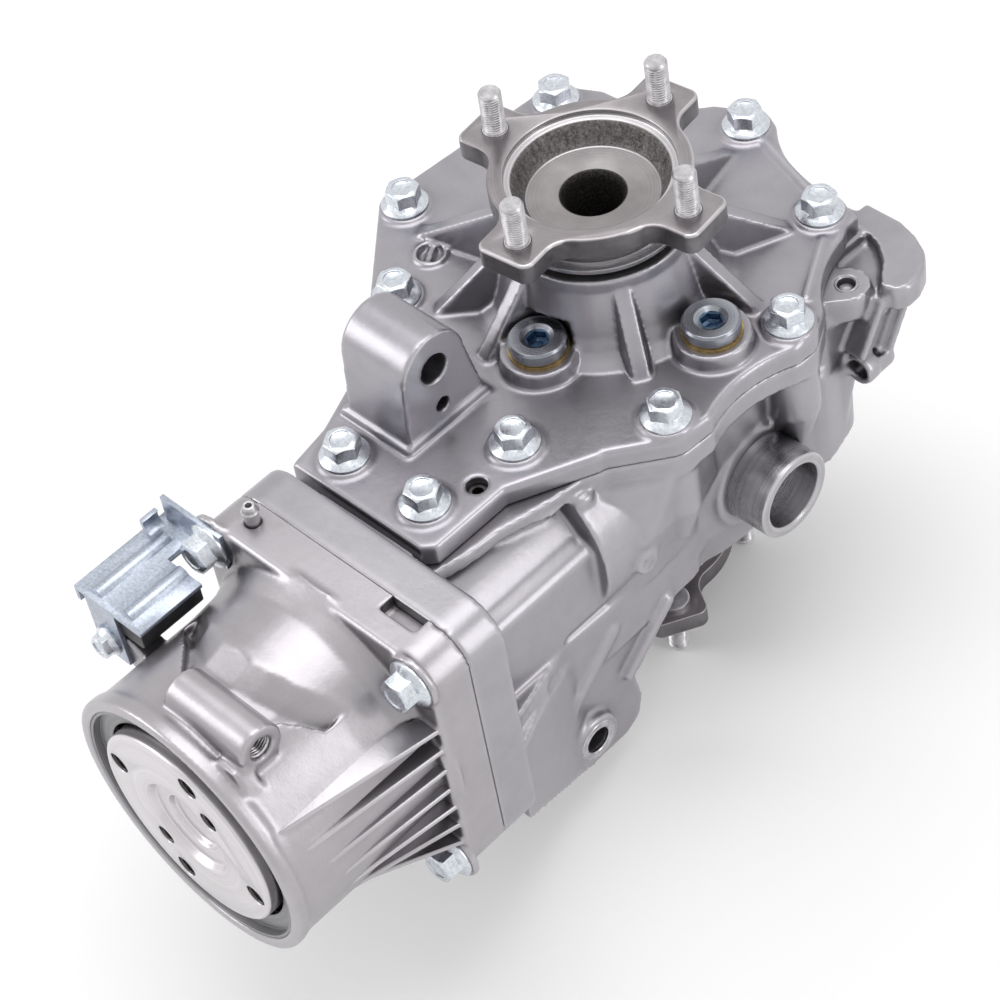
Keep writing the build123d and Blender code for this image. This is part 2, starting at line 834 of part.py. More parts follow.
def carrier_outside():
    top = cover_seat - cover_flange
    flange = flange_outline(top - carrier_flange, top)
    bowl = turned(
        (0, -bowl_floor - 6),
        (boss_top_radius + 10, -bowl_floor - 6),
        (bowl_outer - 11, -bowl_floor - 4),
        (bowl_outer - 5, -bowl_floor + 4),
        (bowl_outer, -bowl_floor + 24),
        (bowl_outer, top),
        (0, top),
    )
    boss = turned(
        (0, -boss_top),
        (boss_top_radius, -boss_top),
        (boss_top_radius, -boss_top + collar_height + 2),
        (boss_base_radius, -bowl_floor - 4),
        (boss_base_radius + 6, -bowl_floor),
        (0, -bowl_floor),
    )
    columns = [Pos(x, y, 0) * turned((0, -18), (5, -18), (bolt_pad_radius - 1, 4), (bolt_pad_radius - 1, top), (0, top)) for x, y in cover_bolts]
    under_ribs = []
    for x, y in cover_bolts:
        rib = block(boss_top_radius - 8, bowl_outer - 4, -3, 3, -boss_top + 8, -bowl_floor + 6)
        wedge = rib - Pos(boss_top_radius + 1, 0, -boss_top + 6) * Rot(0, -28, 0) * block(-2, 60, -6, 6, -30, 0)
        under_ribs.append(Rot(0, 0, math.degrees(math.atan2(y, x))) * wedge)
    near = seam_place - adapter_depth
    plate = extrude(Pos(0, 0, near) * block_sketch(block_half, block_corner), adapter_depth)
    flare = loft([Pos(0, 0, neck_narrow) * Circle(neck_radius), Pos(0, 0, near + 0.5) * block_sketch(neck_flare, 24)])
    neck = disc(neck_radius, mesh_far - 8, neck_narrow + 1)
    saddle = slab([(-30, -166), (46, -166), (60, -100), (66, -60), (-60, -60), (-34, -132)], 0, top)
    tube = Pos(0, tube_y, tube_z) * Rot(0, 90, 0) * disc(tube_outer + 5, 50, bowl_outer + 1)
    return (
        bowl
        + [flange, boss, saddle, tube]
        + columns
        + under_ribs
        + [on_input(plate), on_input(flare), on_input(neck), lower_arm(), rear_shelf()]
    )


def differential_carrier():
    top = cover_seat - cover_flange
    body = carrier_outside()
    cavity = turned(
        (0, -cavity_floor),
        (case_flange + 1.5, -cavity_floor),
        (bowl_outer - bowl_wall, -bowl_floor + 22),
        (bowl_outer - bowl_wall, top + 1),
        (0, top + 1),
    )
    line = (
        disc(rear_bearing_outer - 3, 20, rear_cone_start + 1)
        + disc(rear_bearing_outer, rear_cone_start - 8, rear_cup_end)
        + disc(front_bearing_outer - 4, rear_cup_end - 1, front_cup_start + 1)
        + disc(front_bearing_outer, front_cup_start, front_cup_end)
        + disc(front_bearing_outer + 1, front_cup_end - 1, pinion_seal_start)
        + disc(pinion_seal_outer, pinion_seal_start - 1, pinion_seal_start + seal_width)
        + disc(unit_radius + 3.5, pinion_seal_start + seal_width - 0.5, seam_place + 1)
    )
    above = block(-130, 130, -seam_place + adapter_depth + 4.5, 130, top, top + 30)
    body = body - above - cavity - on_input(line) - on_lower(seat_of_output())
    thread = disc(cover_thread / 2, cover_seat - cover_bolt_length - 2, top + 1)
    body -= [Pos(x, y, 0) * thread for x, y in cover_bolts]
    ledge_thread = disc(cover_thread / 2, cover_seat - ledge_bolt_length - 1, top + 1)
    body -= [Pos(x, y, 0) * ledge_thread for x, y in ledge_bolts]
    body -= Pos(*dowel_place, 0) * disc(dowel_radius - 0.5, top - 9, top + 1)
    corner_thread = disc(cover_thread / 2, seam_place - 16, seam_place + 1)
    body -= [on_input(Pos(x, y, 0) * corner_thread) for x, y in block_bolt_places()]
    body -= Pos(0, lower_boss_y, lower_boss_z) * Rot(0, 90, 0) * disc(
        lower_boss_bore, lower_boss_face - lower_boss_width - 1, lower_boss_face + 1
    )
    body -= Pos(*rear_ear_place, 0) * disc(4, 20, top + 5)
    return body - Pos(0, tube_y, tube_z) * Rot(0, 90, 0) * disc(tube_outer, tube_end - tube_depth - 3, tube_end)


def block_bolt_places():
    reach = block_bolt_reach
    return [(reach, reach), (-reach, reach), (reach, -reach), (-reach, -reach)]


def drum_fins():
    """Cooling fins beside the drum, each starting a little later than the one above."""
    fins = []
    count = 7
    for i in range(count):
        height = 32.3 - 12.4 * i
        start = 279 - 5 * i
        flange_front = seam_place + flange_depth - 1
        surface = math.sqrt(drum_radius**2 - height**2) - 0.5
        points = [(38, 0, start), (surface, 0, start), (block_half - 1, 0, flange_front), (38, 0, flange_front)]
        outline = Polyline(*points, close=True)
        fin = extrude(make_face(outline), 1.6, both=True)
        fins.append(Pos(0, height, 0) * fin)
    return fins


def boss_hollow():
    """The hollow that slopes down to the boss on the drum, as a tool to cut from the drum."""
    sections = []
    for across, slope, floor, end in hollow_steps:
        rim = math.sqrt(drum_radius**2 - across**2) + 0.4
        low = math.sqrt(hollow_floor_radius**2 - across**2)
        outline = [(rim, slope), (low, floor), (low, end), (drum_radius + 20, end), (drum_radius + 20, slope)]
        sections.append(make_face(Polyline(*[(across, y, z) for y, z in outline], close=True)))
    return loft(sections, ruled=True)


def coupling_housing():
    front = seam_place + flange_depth
    rim_face = seam_place + drum_length
    plate = extrude(Pos(0, 0, seam_place) * block_sketch(block_half, block_corner), flange_depth)
    plate = fillet(plate.edges().group_by(Axis.Z)[-1], 2.0)
    barrel = turned(
        (0, front - 4),
        (drum_radius + 7, front - 4),
        (drum_radius + 4, front + 3),
        (drum_radius + 1.4, front + 10),
        (drum_radius, front + 26),
        (drum_radius, rim_face - rim_width),
        (rim_radius, rim_face - rim_width + 3),
        (rim_radius, rim_face - 1),
        (rim_radius - 1, rim_face),
        (0, rim_face),
    )
    barrel -= boss_hollow()
    boss_axis = Pos(0, drum_boss_height, drum_boss_place) * Rot(0, 90, 0)
    boss = boss_axis * disc(drum_boss_radius, drum_boss_left, drum_boss_face)
    boss_web = slab([(26, 58), (35.5, 57), (42, 45), (26, 45)], 272, 280)
    ear = [Pos(x, y, 0) * disc(cover_bolt_flange / 2 + 1.5, front - 2, front + 1) for x, y in block_bolt_places()]
    screw_boss = hull_slab([(bracket_screw_x - input_offset, bracket_screw_z, 7), (-50, 18, 10)], 242, bracket_front - bracket_sheet)
    body = plate + [barrel, boss, boss_web, screw_boss] + ear + drum_fins()
    inner = (
        disc(unit_radius + 3.5, seam_place - 1, unit_front + 0.5)
        + disc(input_bearing_outer - 4, unit_front, bearing_back + 1)
        + disc(input_bearing_outer, bearing_back, nose_end + 1)
    )
    mouth = collar(rim_radius - rim_lip, input_bearing_outer + 5, nose_end - 5, rim_face + 1)
    mouth += disc(input_disc_radius + 6, nose_end, rim_face + 1)
    body = body - inner - mouth
    body -= boss_axis * disc(drum_boss_bore, drum_boss_face - drum_boss_depth, drum_boss_face + 1)
    corner_hole = disc(cover_thread / 2 + screw_clearance, seam_place - 1, front + 2)
    body -= [Pos(x, y, 0) * corner_hole for x, y in block_bolt_places()]
    body -= Pos(bracket_screw_x - input_offset, bracket_screw_z, 0) * disc(3, 241, bracket_front)
    slot = block(27.5, 46.5, block_half - 6, block_half + 1, seam_place - 1, seam_place + 8)
    return on_input(body - slot)


def input_flange():
    profile = turned(
        (0, unit_front - unit_wall - 1),
        (input_bearing_bore - 1.5, unit_front - unit_wall - 1),
        (input_bearing_bore - 1.5, bearing_back - 0.5),
        (input_bearing_bore, bearing_back - 0.5),
        (input_bearing_bore, seal_back),
        (input_journal, seal_back),
        (input_journal, disc_back),
        (input_disc_radius - 1, disc_back),
        (input_disc_radius, disc_back + 1),
        (input_disc_radius, disc_face - 1),
        (input_disc_radius - 1, disc_face),
        (centre_recess_radius, disc_face),
        (centre_recess_radius - 2, disc_face - centre_recess_depth),
        (centre_pocket_radius, disc_face - centre_recess_depth),
        (centre_pocket_radius - 1, disc_face - centre_recess_depth - centre_pocket_depth),
        (0, disc_face - centre_recess_depth - centre_pocket_depth),
    )
    hole = disc(input_hole_thread / 2, disc_back - 1, disc_face + 1)
    holes = []
    for i in range(4):
        holes.append(Rot(0, 0, input_hole_angle + 90 * i) * Pos(input_hole_radius, 0, 0) * hole)
    puller = disc(input_hole_thread / 2 - 0.5, disc_back - 1, disc_face + 1)
    for i in range(2):
        holes.append(Rot(0, 0, puller_hole_angle + 180 * i) * Pos(puller_hole_radius, 0, 0) * puller)
    return on_input(profile - holes)


# Places along the pinion shaft
rear_cone_start = ring_outer + ring_to_bearing
rear_cup_end = rear_cone_start + rear_bearing_width
front_cone_start = rear_cup_end + spacer_length
front_cup_start = front_cone_start
front_cup_end = front_cone_start + front_bearing_width
nut_end = front_cup_end + nut_width
pinion_seal_start = nut_end + 3.0


def pinion_shaft():
    shaft = turned(
        (0, rear_cone_start - 1),
        (pinion_seat, rear_cone_start - 1),
        (pinion_seat, rear_cup_end),
        (front_seat, rear_cup_end),
        (front_seat, nut_end + 1),
        (pinion_shaft_radius, nut_end + 2),
        (pinion_shaft_radius, unit_front - unit_wall - 3),
        (pinion_shaft_radius - 1.5, unit_front - unit_wall - 1.5),
        (0, unit_front - unit_wall - 1.5),
    )
    return on_input(pinion_head() + shaft)


def plate_places():
    start = unit_rear + unit_wall + 1.2
    return [start + plate_pitch * i for i in range(plate_count)]


def outer_plate(place):
    plate = collar(unit_radius - unit_shell, hub_radius + plate_reach_gap, place, place + plate_thickness)
    slot = block(unit_radius - unit_shell - 9, unit_radius - unit_shell - 3, -1.5, 1.5, place - 1, place + 4)
    return plate - [Rot(0, 0, 360 * i / plate_slots) * slot for i in range(plate_slots)]


def inner_plate(place):
    reach = unit_radius - unit_shell - plate_reach_gap
    plate = collar(reach, hub_radius, place, place + plate_thickness)
    hole = disc(2.5, place - 1, place + 4)
    return plate - [Rot(0, 0, 360 * i / plate_slots) * Pos(reach - 8, 0, 0) * hole for i in range(plate_slots)]


def viscous_drum():
    shell = turned(
        (input_bearing_bore - 1.5, unit_front - unit_wall),
        (unit_radius - unit_shell, unit_front - unit_wall),
        (unit_radius - unit_shell, unit_rear),
        (unit_radius, unit_rear),
        (unit_radius, unit_front - 2),
        (unit_radius - 2, unit_front),
        (input_bearing_bore - 1.5, unit_front),
    )
    return on_input(shell)


def drum_end_cover():
    inner = hub_radius + running_gap
    return on_input(collar(unit_radius - unit_shell, inner, unit_rear + 0.5, unit_rear + unit_wall))


def coupling_hub():
    return on_input(collar(hub_radius, pinion_shaft_radius, unit_rear - 3, unit_front - unit_wall - 4))


def hub_circlip():
    low = unit_front - unit_wall - 4
    clip = collar(pinion_shaft_radius + 3, pinion_shaft_radius, low, low + 1.2)
    return on_input(clip - block(0, 40, -2, 2, low - 1, low + 3))


def dust_ring():
    outer = rim_radius - rim_lip
    face = seam_place + drum_length
    return on_input(
        turned(
            (outer, face - 6),
            (outer, face - 0.8),
            (outer - 1.4, face - 0.8),
            (outer - 1.4, face - 6 + dust_ring_web),
            (input_disc_radius + 1.8, face - 6 + dust_ring_web),
            (input_disc_radius + 1.8, face - 6),
        )
    )


def input_seal():
    return on_input(
        turned(
            (input_journal + running_gap, seal_back + 3),
            (input_bearing_outer - 4, seal_back + 0.3),
            (input_bearing_outer, seal_back + 0.3),
            (input_bearing_outer, nose_end),
            (input_journal + 3, nose_end),
            (input_journal + running_gap, nose_end - 2),
        )
    )


def pinion_seal():
    low = pinion_seal_start
    return on_input(
        turned(
            (pinion_shaft_radius + running_gap, low + 2),
            (pinion_seal_outer - 4, low),
            (pinion_seal_outer, low),
            (pinion_seal_outer, low + seal_width),
            (pinion_shaft_radius + 4, low + seal_width),
            (pinion_shaft_radius + running_gap, low + seal_width - 2),
        )
    )


def pinion_nut():
    hexagon = extrude(Pos(0, 0, front_cup_end) * RegularPolygon(nut_flats / 2, 6, major_radius=False), nut_width)
    return on_input(hexagon - disc(front_seat, front_cup_end - 1, nut_end + 1))


def bearing_spacer():
    return on_input(collar(front_seat + spacer_wall + 1, front_seat + 1, rear_cup_end, front_cone_start))


# Bracket with its connector, on the side of the housing away from the mount tube
def connector_bracket():
    back = seam_place + flange_depth + 1
    top = block(bracket_left, bracket_right, -bracket_front, -back - 4, bracket_top, bracket_top + bracket_sheet)
    tab = block(bracket_right - 37, bracket_right - 1, -back - bracket_sheet, -back, bracket_top - 3, bracket_top + 16)
    web = block(bracket_left, bracket_right, -back - 6, -back, bracket_top, bracket_top + bracket_sheet)
    front = block(bracket_screw_x - 9, bracket_screw_x + 9, -bracket_front, -bracket_front + bracket_sheet, 20, bracket_top + 1)
    side = block(bracket_left, bracket_left + bracket_sheet, -bracket_front, -back - 12, bracket_top - 6, bracket_top + 1)
    curl = Pos(bracket_left + 6, -back - 7, bracket_top + 6) * Rot(90, 0, 0) * (
        collar(6, 6 - bracket_sheet, -3, 5) & block(-7, 0, -7, 3, -3, 5)
    )
    sheet = top + [tab, web, front, side, curl]
    rib = Rot(90, 0, 0) * extrude(Circle(bracket_rib), 38)
    ribs = [Pos(x, -back - 8, bracket_top + 0.2) * rib for x in (bracket_left + 11, bracket_right - 11)]
    keep = block(bracket_left - 1, bracket_right + 1, -bracket_front, 0, bracket_top + 1, bracket_top + 9)
    sheet += [rib_solid & keep for rib_solid in ribs]
    groove = Rot(90, 0, 0) * extrude(Circle(bracket_rib - bracket_sheet * 0.8), 36)
    sheet -= [Pos(x, -back - 9, bracket_top + 0.2) * groove for x in (bracket_left + 11, bracket_right - 11)]
    hole = disc(cover_thread / 2 + screw_clearance, back - 1, back + bracket_sheet + 1)
    room = disc(cover_bolt_flange / 2 + 1.5, back + bracket_sheet, back + bracket_sheet + 14)
    sheet -= on_input(Pos(-block_bolt_reach, block_bolt_reach, 0) * (hole + room))
    return sheet - bracket_screw_place() * disc(3 + screw_clearance, -6, 3)


def bracket_screw_place():
    return Pos(bracket_screw_x, -bracket_front, bracket_screw_z) * Rot(90, 0, 0)


def harness_connector():
    back = seam_place + flange_depth + 16
    body = block(
        bracket_left + 7, bracket_right - 3.5, -bracket_front + bracket_sheet, -back, bracket_top - connector_depth, bracket_top
    )
    body = fillet(body.edges().filter_by(Axis.Y), 3.0)
    return body - block(bracket_left + 12, bracket_right - 8, -back - 12, -back + 1, bracket_top - 10.5, bracket_top - 2.5)


def breather_pipe():
    low = block_half - 6
    pipe = turned((0, low), (3.2, low), (3.2, low + 14), (2.4, low + 16), (0, low + 16)) - disc(1.4, low + 4, low + 17)
    bead = turned((3.0, low + 11.5), (3.9, low + 12.5), (3.0, low + 14))
    return pipe + bead


breather_place = Pos(-9.6, -194.3, 0)


def build():
    thread_hole = disc(3.2, block_half - 6, block_half + 1)
    housing = coupling_housing() - breather_place * thread_hole
    save("coupling_housing", housing)
    save("differential_carrier", differential_carrier())
    save("side_cover", side_cover())
    tube = collar(tube_outer, tube_bore, tube_end - tube_depth - 3, tube_end)
    tube = chamfer(tube.edges().group_by(Axis.Z)[-1], 0.8) + disc(tube_outer, tube_end - tube_depth - 3, tube_end - tube_depth)
    save("mount_tube", Pos(0, tube_y, tube_z) * Rot(0, 90, 0) * tube)

    bolt = flange_bolt(cover_thread, cover_flats, cover_bolt_flange, cover_bolt_head, cover_bolt_length)
    short_bolt = flange_bolt(cover_thread, cover_flats, cover_bolt_flange, cover_bolt_head, ledge_bolt_length)
    placed = [Pos(x, y, cover_seat) * Rot(0, 0, 17 * i) * bolt for i, (x, y) in enumerate(cover_bolts)]
    placed += [Pos(x, y, cover_seat) * short_bolt for x, y in ledge_bolts]
    save("cover_bolts", *placed)
    long_bolt = flange_bolt(cover_thread, cover_flats, cover_bolt_flange, cover_bolt_head, flange_depth + 15)
    front = seam_place + flange_depth + 1
    seats = []
    for x, y in block_bolt_places():
        lift = bracket_sheet if (x < 0 and y > 0) else 0
        seats.append(on_input(Pos(x, y, front + lift) * long_bolt))
    save("coupling_bolts", *seats)
    for name, place in (("fill_plug", fill_plug_place), ("drain_plug", drain_plug_place)):
        save(name, Pos(*place, plug_pad_top + washer_thickness) * screw_plug())
        washer = collar(plug_radius + 0.6, plug_radius - 3.0, plug_pad_top, plug_pad_top + washer_thickness)
        save(name + "_washer", Pos(*place, 0) * washer)
    save("dowel_pins", Pos(*dowel_place, 0) * collar(dowel_radius - 0.5, dowel_radius - 2, cover_seat - cover_flange - 8, cover_seat - 6))
    save("breather_pipe", breather_place * breather_pipe())
    save("connector_bracket", connector_bracket())
    save("harness_connector", harness_connector())
    save("bracket_screw", bracket_screw_place() * flange_bolt(6.0, 10.0, 14.0, 6.5, 15))

    save("dust_ring", dust_ring())
    save("input_seal", input_seal())
    inner, outer, balls = ball_parts(input_bearing_bore, input_bearing_outer, input_bearing_width, 9)
    middle = Pos(0, 0, bearing_back + input_bearing_width / 2)
    save("input_bearing_inner_ring", on_input(middle * inner))
    save("input_bearing_outer_ring", on_input(middle * outer), *[on_input(middle * ball) for ball in balls])
    save("input_flange", input_flange())
    save("viscous_drum", viscous_drum())
    save("drum_end_cover", drum_end_cover())
    places = plate_places()
    save("outer_plates", *[on_input(outer_plate(place)) for place in places[::2]])
    save("inner_plates", *[on_input(inner_plate(place)) for place in places[1::2]])
    save("coupling_hub", coupling_hub())
    save("hub_circlip", hub_circlip())

    save("pinion_shaft", pinion_shaft())
    cone, cup, rollers = taper_parts(pinion_seat, rear_bearing_outer, rear_bearing_width)
    turn_over = Pos(0, 0, rear_cup_end) * Rot(180, 0, 0)
    save("pinion_rear_bearing_cone", on_input(turn_over * cone))
    save("pinion_rear_bearing_cup", on_input(turn_over * cup), *[on_input(turn_over * roller) for roller in rollers])
    cone, cup, rollers = taper_parts(front_seat, front_bearing_outer, front_bearing_width)
    stand = Pos(0, 0, front_cone_start)
    save("pinion_front_bearing_cone", on_input(stand * cone))
    save("pinion_front_bearing_cup", on_input(stand * cup), *[on_input(stand * roller) for roller in rollers])
    save("bearing_spacer", bearing_spacer())
    save("pinion_nut", pinion_nut())
    save("pinion_seal", pinion_seal())

    save("ring_gear", ring_gear())
    ring_bolt = plain_screw(ring_bolt_thread, 12.0, 5.5, 16.0)
    ring_seat = Pos(0, 0, -ring_back - case_flange_depth) * Rot(180, 0, 0) * ring_bolt
    save("ring_gear_bolts", *[place * ring_seat for place in PolarLocations(ring_bolt_circle, ring_bolt_count)])
    save("differential_case", differential_case())
    save("cross_pin", cross_pin())
    save("spider_gear_a", spider_gear())
    save("spider_gear_b", Rot(0, 0, 180) * spider_gear())
    save("spider_washers", spider_washer(), Rot(0, 0, 180) * spider_washer())
    cone, cup, rollers = taper_parts(case_hub, side_bearing_outer, side_bearing_width)
    side_seat = Pos(0, 0, side_bearing_start + side_bearing_width) * Rot(180, 0, 0)
    for side, turn in (("upper", Pos(0, 0, 0)), ("lower", Rot(180, 0, 0))):
        save(side + "_side_bearing_cone", turn * (side_seat * cone))
        save(side + "_side_bearing_cup", turn * (side_seat * cup), *[turn * (side_seat * roller) for roller in rollers])
        save(side + "_side_gear", turn * side_gear())
        angle = upper_ear_angle if side == "upper" else -lower_ear_angle
        spin = turn * Rot(0, 0, angle)
        save(side + "_output_flange", spin * output_flange())
        save(side + "_output_studs", *[spin * stud for stud in output_studs()])
        save(side + "_dust_deflector", turn * output_deflector())
        save(side + "_output_seal", turn * output_seal())


build()
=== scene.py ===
# %% [markdown]
# A rear final drive with a viscous coupling, dressed for a studio picture. The solid model is loaded first
# and stays fixed: every piece added here is placed in its coordinates, in metres, and is told which moving
# body it travels with.

# %% Load the solid model
import bpy
import bmesh
import json
import math
import numpy as np
from mathutils import Matrix, Vector, geometry

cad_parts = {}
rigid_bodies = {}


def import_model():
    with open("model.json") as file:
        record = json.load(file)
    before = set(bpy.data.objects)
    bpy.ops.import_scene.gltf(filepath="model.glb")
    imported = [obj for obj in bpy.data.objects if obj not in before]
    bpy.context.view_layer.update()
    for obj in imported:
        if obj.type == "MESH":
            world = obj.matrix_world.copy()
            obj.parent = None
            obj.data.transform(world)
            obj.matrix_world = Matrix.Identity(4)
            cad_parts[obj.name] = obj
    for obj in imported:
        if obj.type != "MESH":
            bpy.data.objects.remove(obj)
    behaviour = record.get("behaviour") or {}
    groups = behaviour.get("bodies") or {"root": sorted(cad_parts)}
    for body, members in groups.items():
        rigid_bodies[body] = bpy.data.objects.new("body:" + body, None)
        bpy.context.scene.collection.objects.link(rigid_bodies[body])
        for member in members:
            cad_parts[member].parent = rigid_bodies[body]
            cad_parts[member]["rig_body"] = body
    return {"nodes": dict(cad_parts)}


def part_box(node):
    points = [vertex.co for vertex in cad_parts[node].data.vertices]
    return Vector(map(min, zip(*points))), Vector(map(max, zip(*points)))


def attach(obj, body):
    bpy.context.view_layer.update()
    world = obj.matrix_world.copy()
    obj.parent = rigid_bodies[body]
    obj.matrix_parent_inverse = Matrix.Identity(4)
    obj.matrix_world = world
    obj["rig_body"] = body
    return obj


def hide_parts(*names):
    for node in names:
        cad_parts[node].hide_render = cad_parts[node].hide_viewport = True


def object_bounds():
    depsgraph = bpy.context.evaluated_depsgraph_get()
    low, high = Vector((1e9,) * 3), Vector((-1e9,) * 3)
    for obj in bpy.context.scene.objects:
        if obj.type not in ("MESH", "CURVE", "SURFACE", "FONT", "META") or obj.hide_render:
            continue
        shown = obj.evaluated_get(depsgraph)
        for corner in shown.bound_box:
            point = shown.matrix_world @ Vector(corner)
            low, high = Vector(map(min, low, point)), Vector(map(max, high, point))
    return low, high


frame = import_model()
NODES = frame["nodes"]
solid_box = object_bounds()
print("nodes", len(NODES), "box", [round(v, 4) for corner in solid_box for v in corner])

# %% [markdown]
# The pieces stand on a few axes: the input shaft's runs along Y, the mount tube's along X, and the output
# shafts' is Z itself. Places that more than one piece or finish needs are named once, in millimetres,
# because that is how such a unit is drawn. One factor turns them into Blender's metres.

# %% Places that are shared
MM = 0.001
INPUT_X = 34.6
TUBE_Y, TUBE_Z = 4.0, -22.65
STUD_CIRCLE, OUTPUT_FACE = 49.3, 117.2
COVER_FACE, LUG_FACE = 54.0, 3.6
LUG_BORE, LUG_PIN_HOLE = (-101.5, 85.5), (-100.5, 64.0)
COVER_MARK = (-72.6, -34.0)
OIL_PLUGS = {"fill_plug": (10.4, -51.2), "drain_plug": (61.2, 0.0)}
COVER_BOLTS = [
    (-103.4, -19.0), (-96.3, 71.1), (-15.3, 108.8), (46.7, 85.7), (78.8, 27.3), (74.2, -43.7), (35.2, -92.2),
    (-65.4, -61.4), (-16.2, -140.0), (28.8, -138.0),
]
LOWER_BOLT, LOWER_BOSS_FACE = (-108, -98), 75
EAR, EAR_TOP = (75.4, 67.7), 41.6
DRUM_RADIUS = 61.6
print("output studs on a circle", 2 * STUD_CIRCLE, "mm across, cover bolts", len(COVER_BOLTS))

# %% [markdown]
# The camera looks down on the unit from the input flange's side. A photograph of a machine is easier to
# match from a direction, a roll and a distance than from a point, so the camera is worked out from those.
# The unit's origin isn't seen in the picture's middle, so the camera is also moved sideways in its own
# plane.

# %% Camera
def put(name, data):
    obj = bpy.data.objects.new(name, data)
    bpy.context.scene.collection.objects.link(obj)
    return obj


VIEW_AROUND, VIEW_DOWN, VIEW_ROLL = math.radians(52.37), math.radians(47.98), math.radians(-10.99)
DISTANCE = 1.28103
PICTURE_PIXELS, FOCAL_PIXELS, SENSOR_MM = 1000, 2917.4, 36
ORIGIN_SEEN_AT = (617.7, 365.97)
toward = Vector((
    math.sin(VIEW_AROUND) * math.cos(VIEW_DOWN),
    -math.cos(VIEW_AROUND) * math.cos(VIEW_DOWN),
    math.sin(VIEW_DOWN),
))
level = Vector((math.cos(VIEW_AROUND), math.sin(VIEW_AROUND), 0))
upward = toward.cross(level)
right = level * math.cos(VIEW_ROLL) + upward * math.sin(VIEW_ROLL)
top = upward * math.cos(VIEW_ROLL) - level * math.sin(VIEW_ROLL)
shift_right, shift_down = ((seen - PICTURE_PIXELS / 2) / FOCAL_PIXELS * DISTANCE for seen in ORIGIN_SEEN_AT)
eye = toward * DISTANCE - right * shift_right + top * shift_down
camera_data = bpy.data.cameras.new("camera")
camera_data.sensor_width = SENSOR_MM
camera_data.lens = FOCAL_PIXELS * SENSOR_MM / PICTURE_PIXELS
camera = put("camera", camera_data)
camera.matrix_world = Matrix((
    (right.x, top.x, toward.x, eye.x),
    (right.y, top.y, toward.y, eye.y),
    (right.z, top.z, toward.z, eye.z),
    (0, 0, 0, 1),
))
bpy.context.scene.camera = camera
print("camera at", [round(v, 3) for v in eye], "lens", round(camera_data.lens, 1), "mm")

# %% [markdown]
# Shader maths is easier to read as arithmetic. A Signal holds one socket of a node tree, and each operator
# adds the Math node that does the same sum. The Nodes class is the one way in which nodes are made: it sets
# a node's settings first, and then gives each socket a number or a link.

# %% Arithmetic on sockets
class Signal:
    def __init__(self, nodes, socket):
        self.nodes = nodes
        self.socket = socket

    def math(self, operation, *others, clamp=False):
        return self.nodes.math(operation, self, *others, clamp=clamp)

    def __add__(self, other):
        return self.math("ADD", other)

    def __radd__(self, other):
        return self.nodes.math("ADD", other, self)

    def __sub__(self, other):
        return self.math("SUBTRACT", other)

    def __rsub__(self, other):
        return self.nodes.math("SUBTRACT", other, self)

    def __mul__(self, other):
        return self.math("MULTIPLY", other)

    def __rmul__(self, other):
        return self.nodes.math("MULTIPLY", other, self)

    def __truediv__(self, other):
        return self.math("DIVIDE", other)

    def __rtruediv__(self, other):
        return self.nodes.math("DIVIDE", other, self)

    def above(self, edge, width):
        """0 below the edge, 1 above it, over this width."""
        return ((self - edge) / width).math("ADD", 0.5, clamp=True)

    def between(self, low, high, width):
        return self.above(low, width) * (1 - self.above(high, width))


class Nodes:
    def __init__(self, tree, shader):
        self.tree = tree
        self.shader = tree.nodes[shader]

    def node(self, kind, settings=None, sockets=None, out=0):
        made = self.tree.nodes.new(kind)
        for key, value in (settings or {}).items():
            setattr(made, key, value)
        for key, value in (sockets or {}).items():
            if isinstance(value, Signal):
                self.tree.links.new(value.socket, made.inputs[key])
            else:
                made.inputs[key].default_value = value
        return Signal(self, made.outputs[out])

    def math(self, operation, *values, clamp=False):
        settings = {"operation": operation, "use_clamp": clamp}
        return self.node("ShaderNodeMath", settings, dict(enumerate(values)))

    def feed(self, name, signal):
        self.tree.links.new(signal.socket, self.shader.inputs[name])


print("operators:", ", ".join(name for name in vars(Signal) if name.startswith("__r")))

# %% [markdown]
# A finish is a material with the patterns that every metal here is made of: clouds of noise, fine rings,
# and masks from a place or from the way a face looks. Its patterns are sized in millimetres. Colours are
# written as they look on screen, and one function turns them into the linear values that a shader takes.

# %% A finish and its colours
class Finish(Nodes):
    def __init__(self, name, **values):
        self.material = bpy.data.materials.new(name)
        self.material.use_nodes = True
        super().__init__(self.material.node_tree, "Principled BSDF")
        for key, value in values.items():
            self.shader.inputs[key.replace("_", " ")].default_value = value

    def place(self):
        return self.node("ShaderNodeTexCoord", out="Object")

    def axes(self, signal):
        split = self.node("ShaderNodeSeparateXYZ", None, {0: signal})
        return [Signal(self, output) for output in split.socket.node.outputs]

    def normal(self):
        return self.axes(self.node("ShaderNodeNewGeometry", out="Normal"))

    def edges(self, edge, width):
        """1 where the surface is bent outward, as on an edge."""
        return self.node("ShaderNodeNewGeometry", out="Pointiness").above(edge, width)

    def noise(self, size_mm, detail=3.0, roughness=0.5, where=None):
        where = where or self.place()
        sockets = {"Vector": where, "Scale": 1000.0 / size_mm, "Detail": detail, "Roughness": roughness}
        return self.node("ShaderNodeTexNoise", None, sockets)

    def rings(self, along, size_mm):
        """Noise that changes only with one distance."""
        sockets = {"W": along * 1000.0, "Scale": 1.0 / size_mm, "Detail": 2.0}
        return self.node("ShaderNodeTexNoise", {"noise_dimensions": "1D"}, sockets)

    def mix(self, amount, first, second):
        return self.node("ShaderNodeMix", {"data_type": "RGBA"}, {0: amount, 6: first, 7: second}, out=2)

    def bump(self, height, strength):
        """A relief whose height is given in millimetres."""
        sockets = {"Height": height, "Distance": MM, "Strength": strength}
        self.feed("Normal", self.node("ShaderNodeBump", None, sockets))


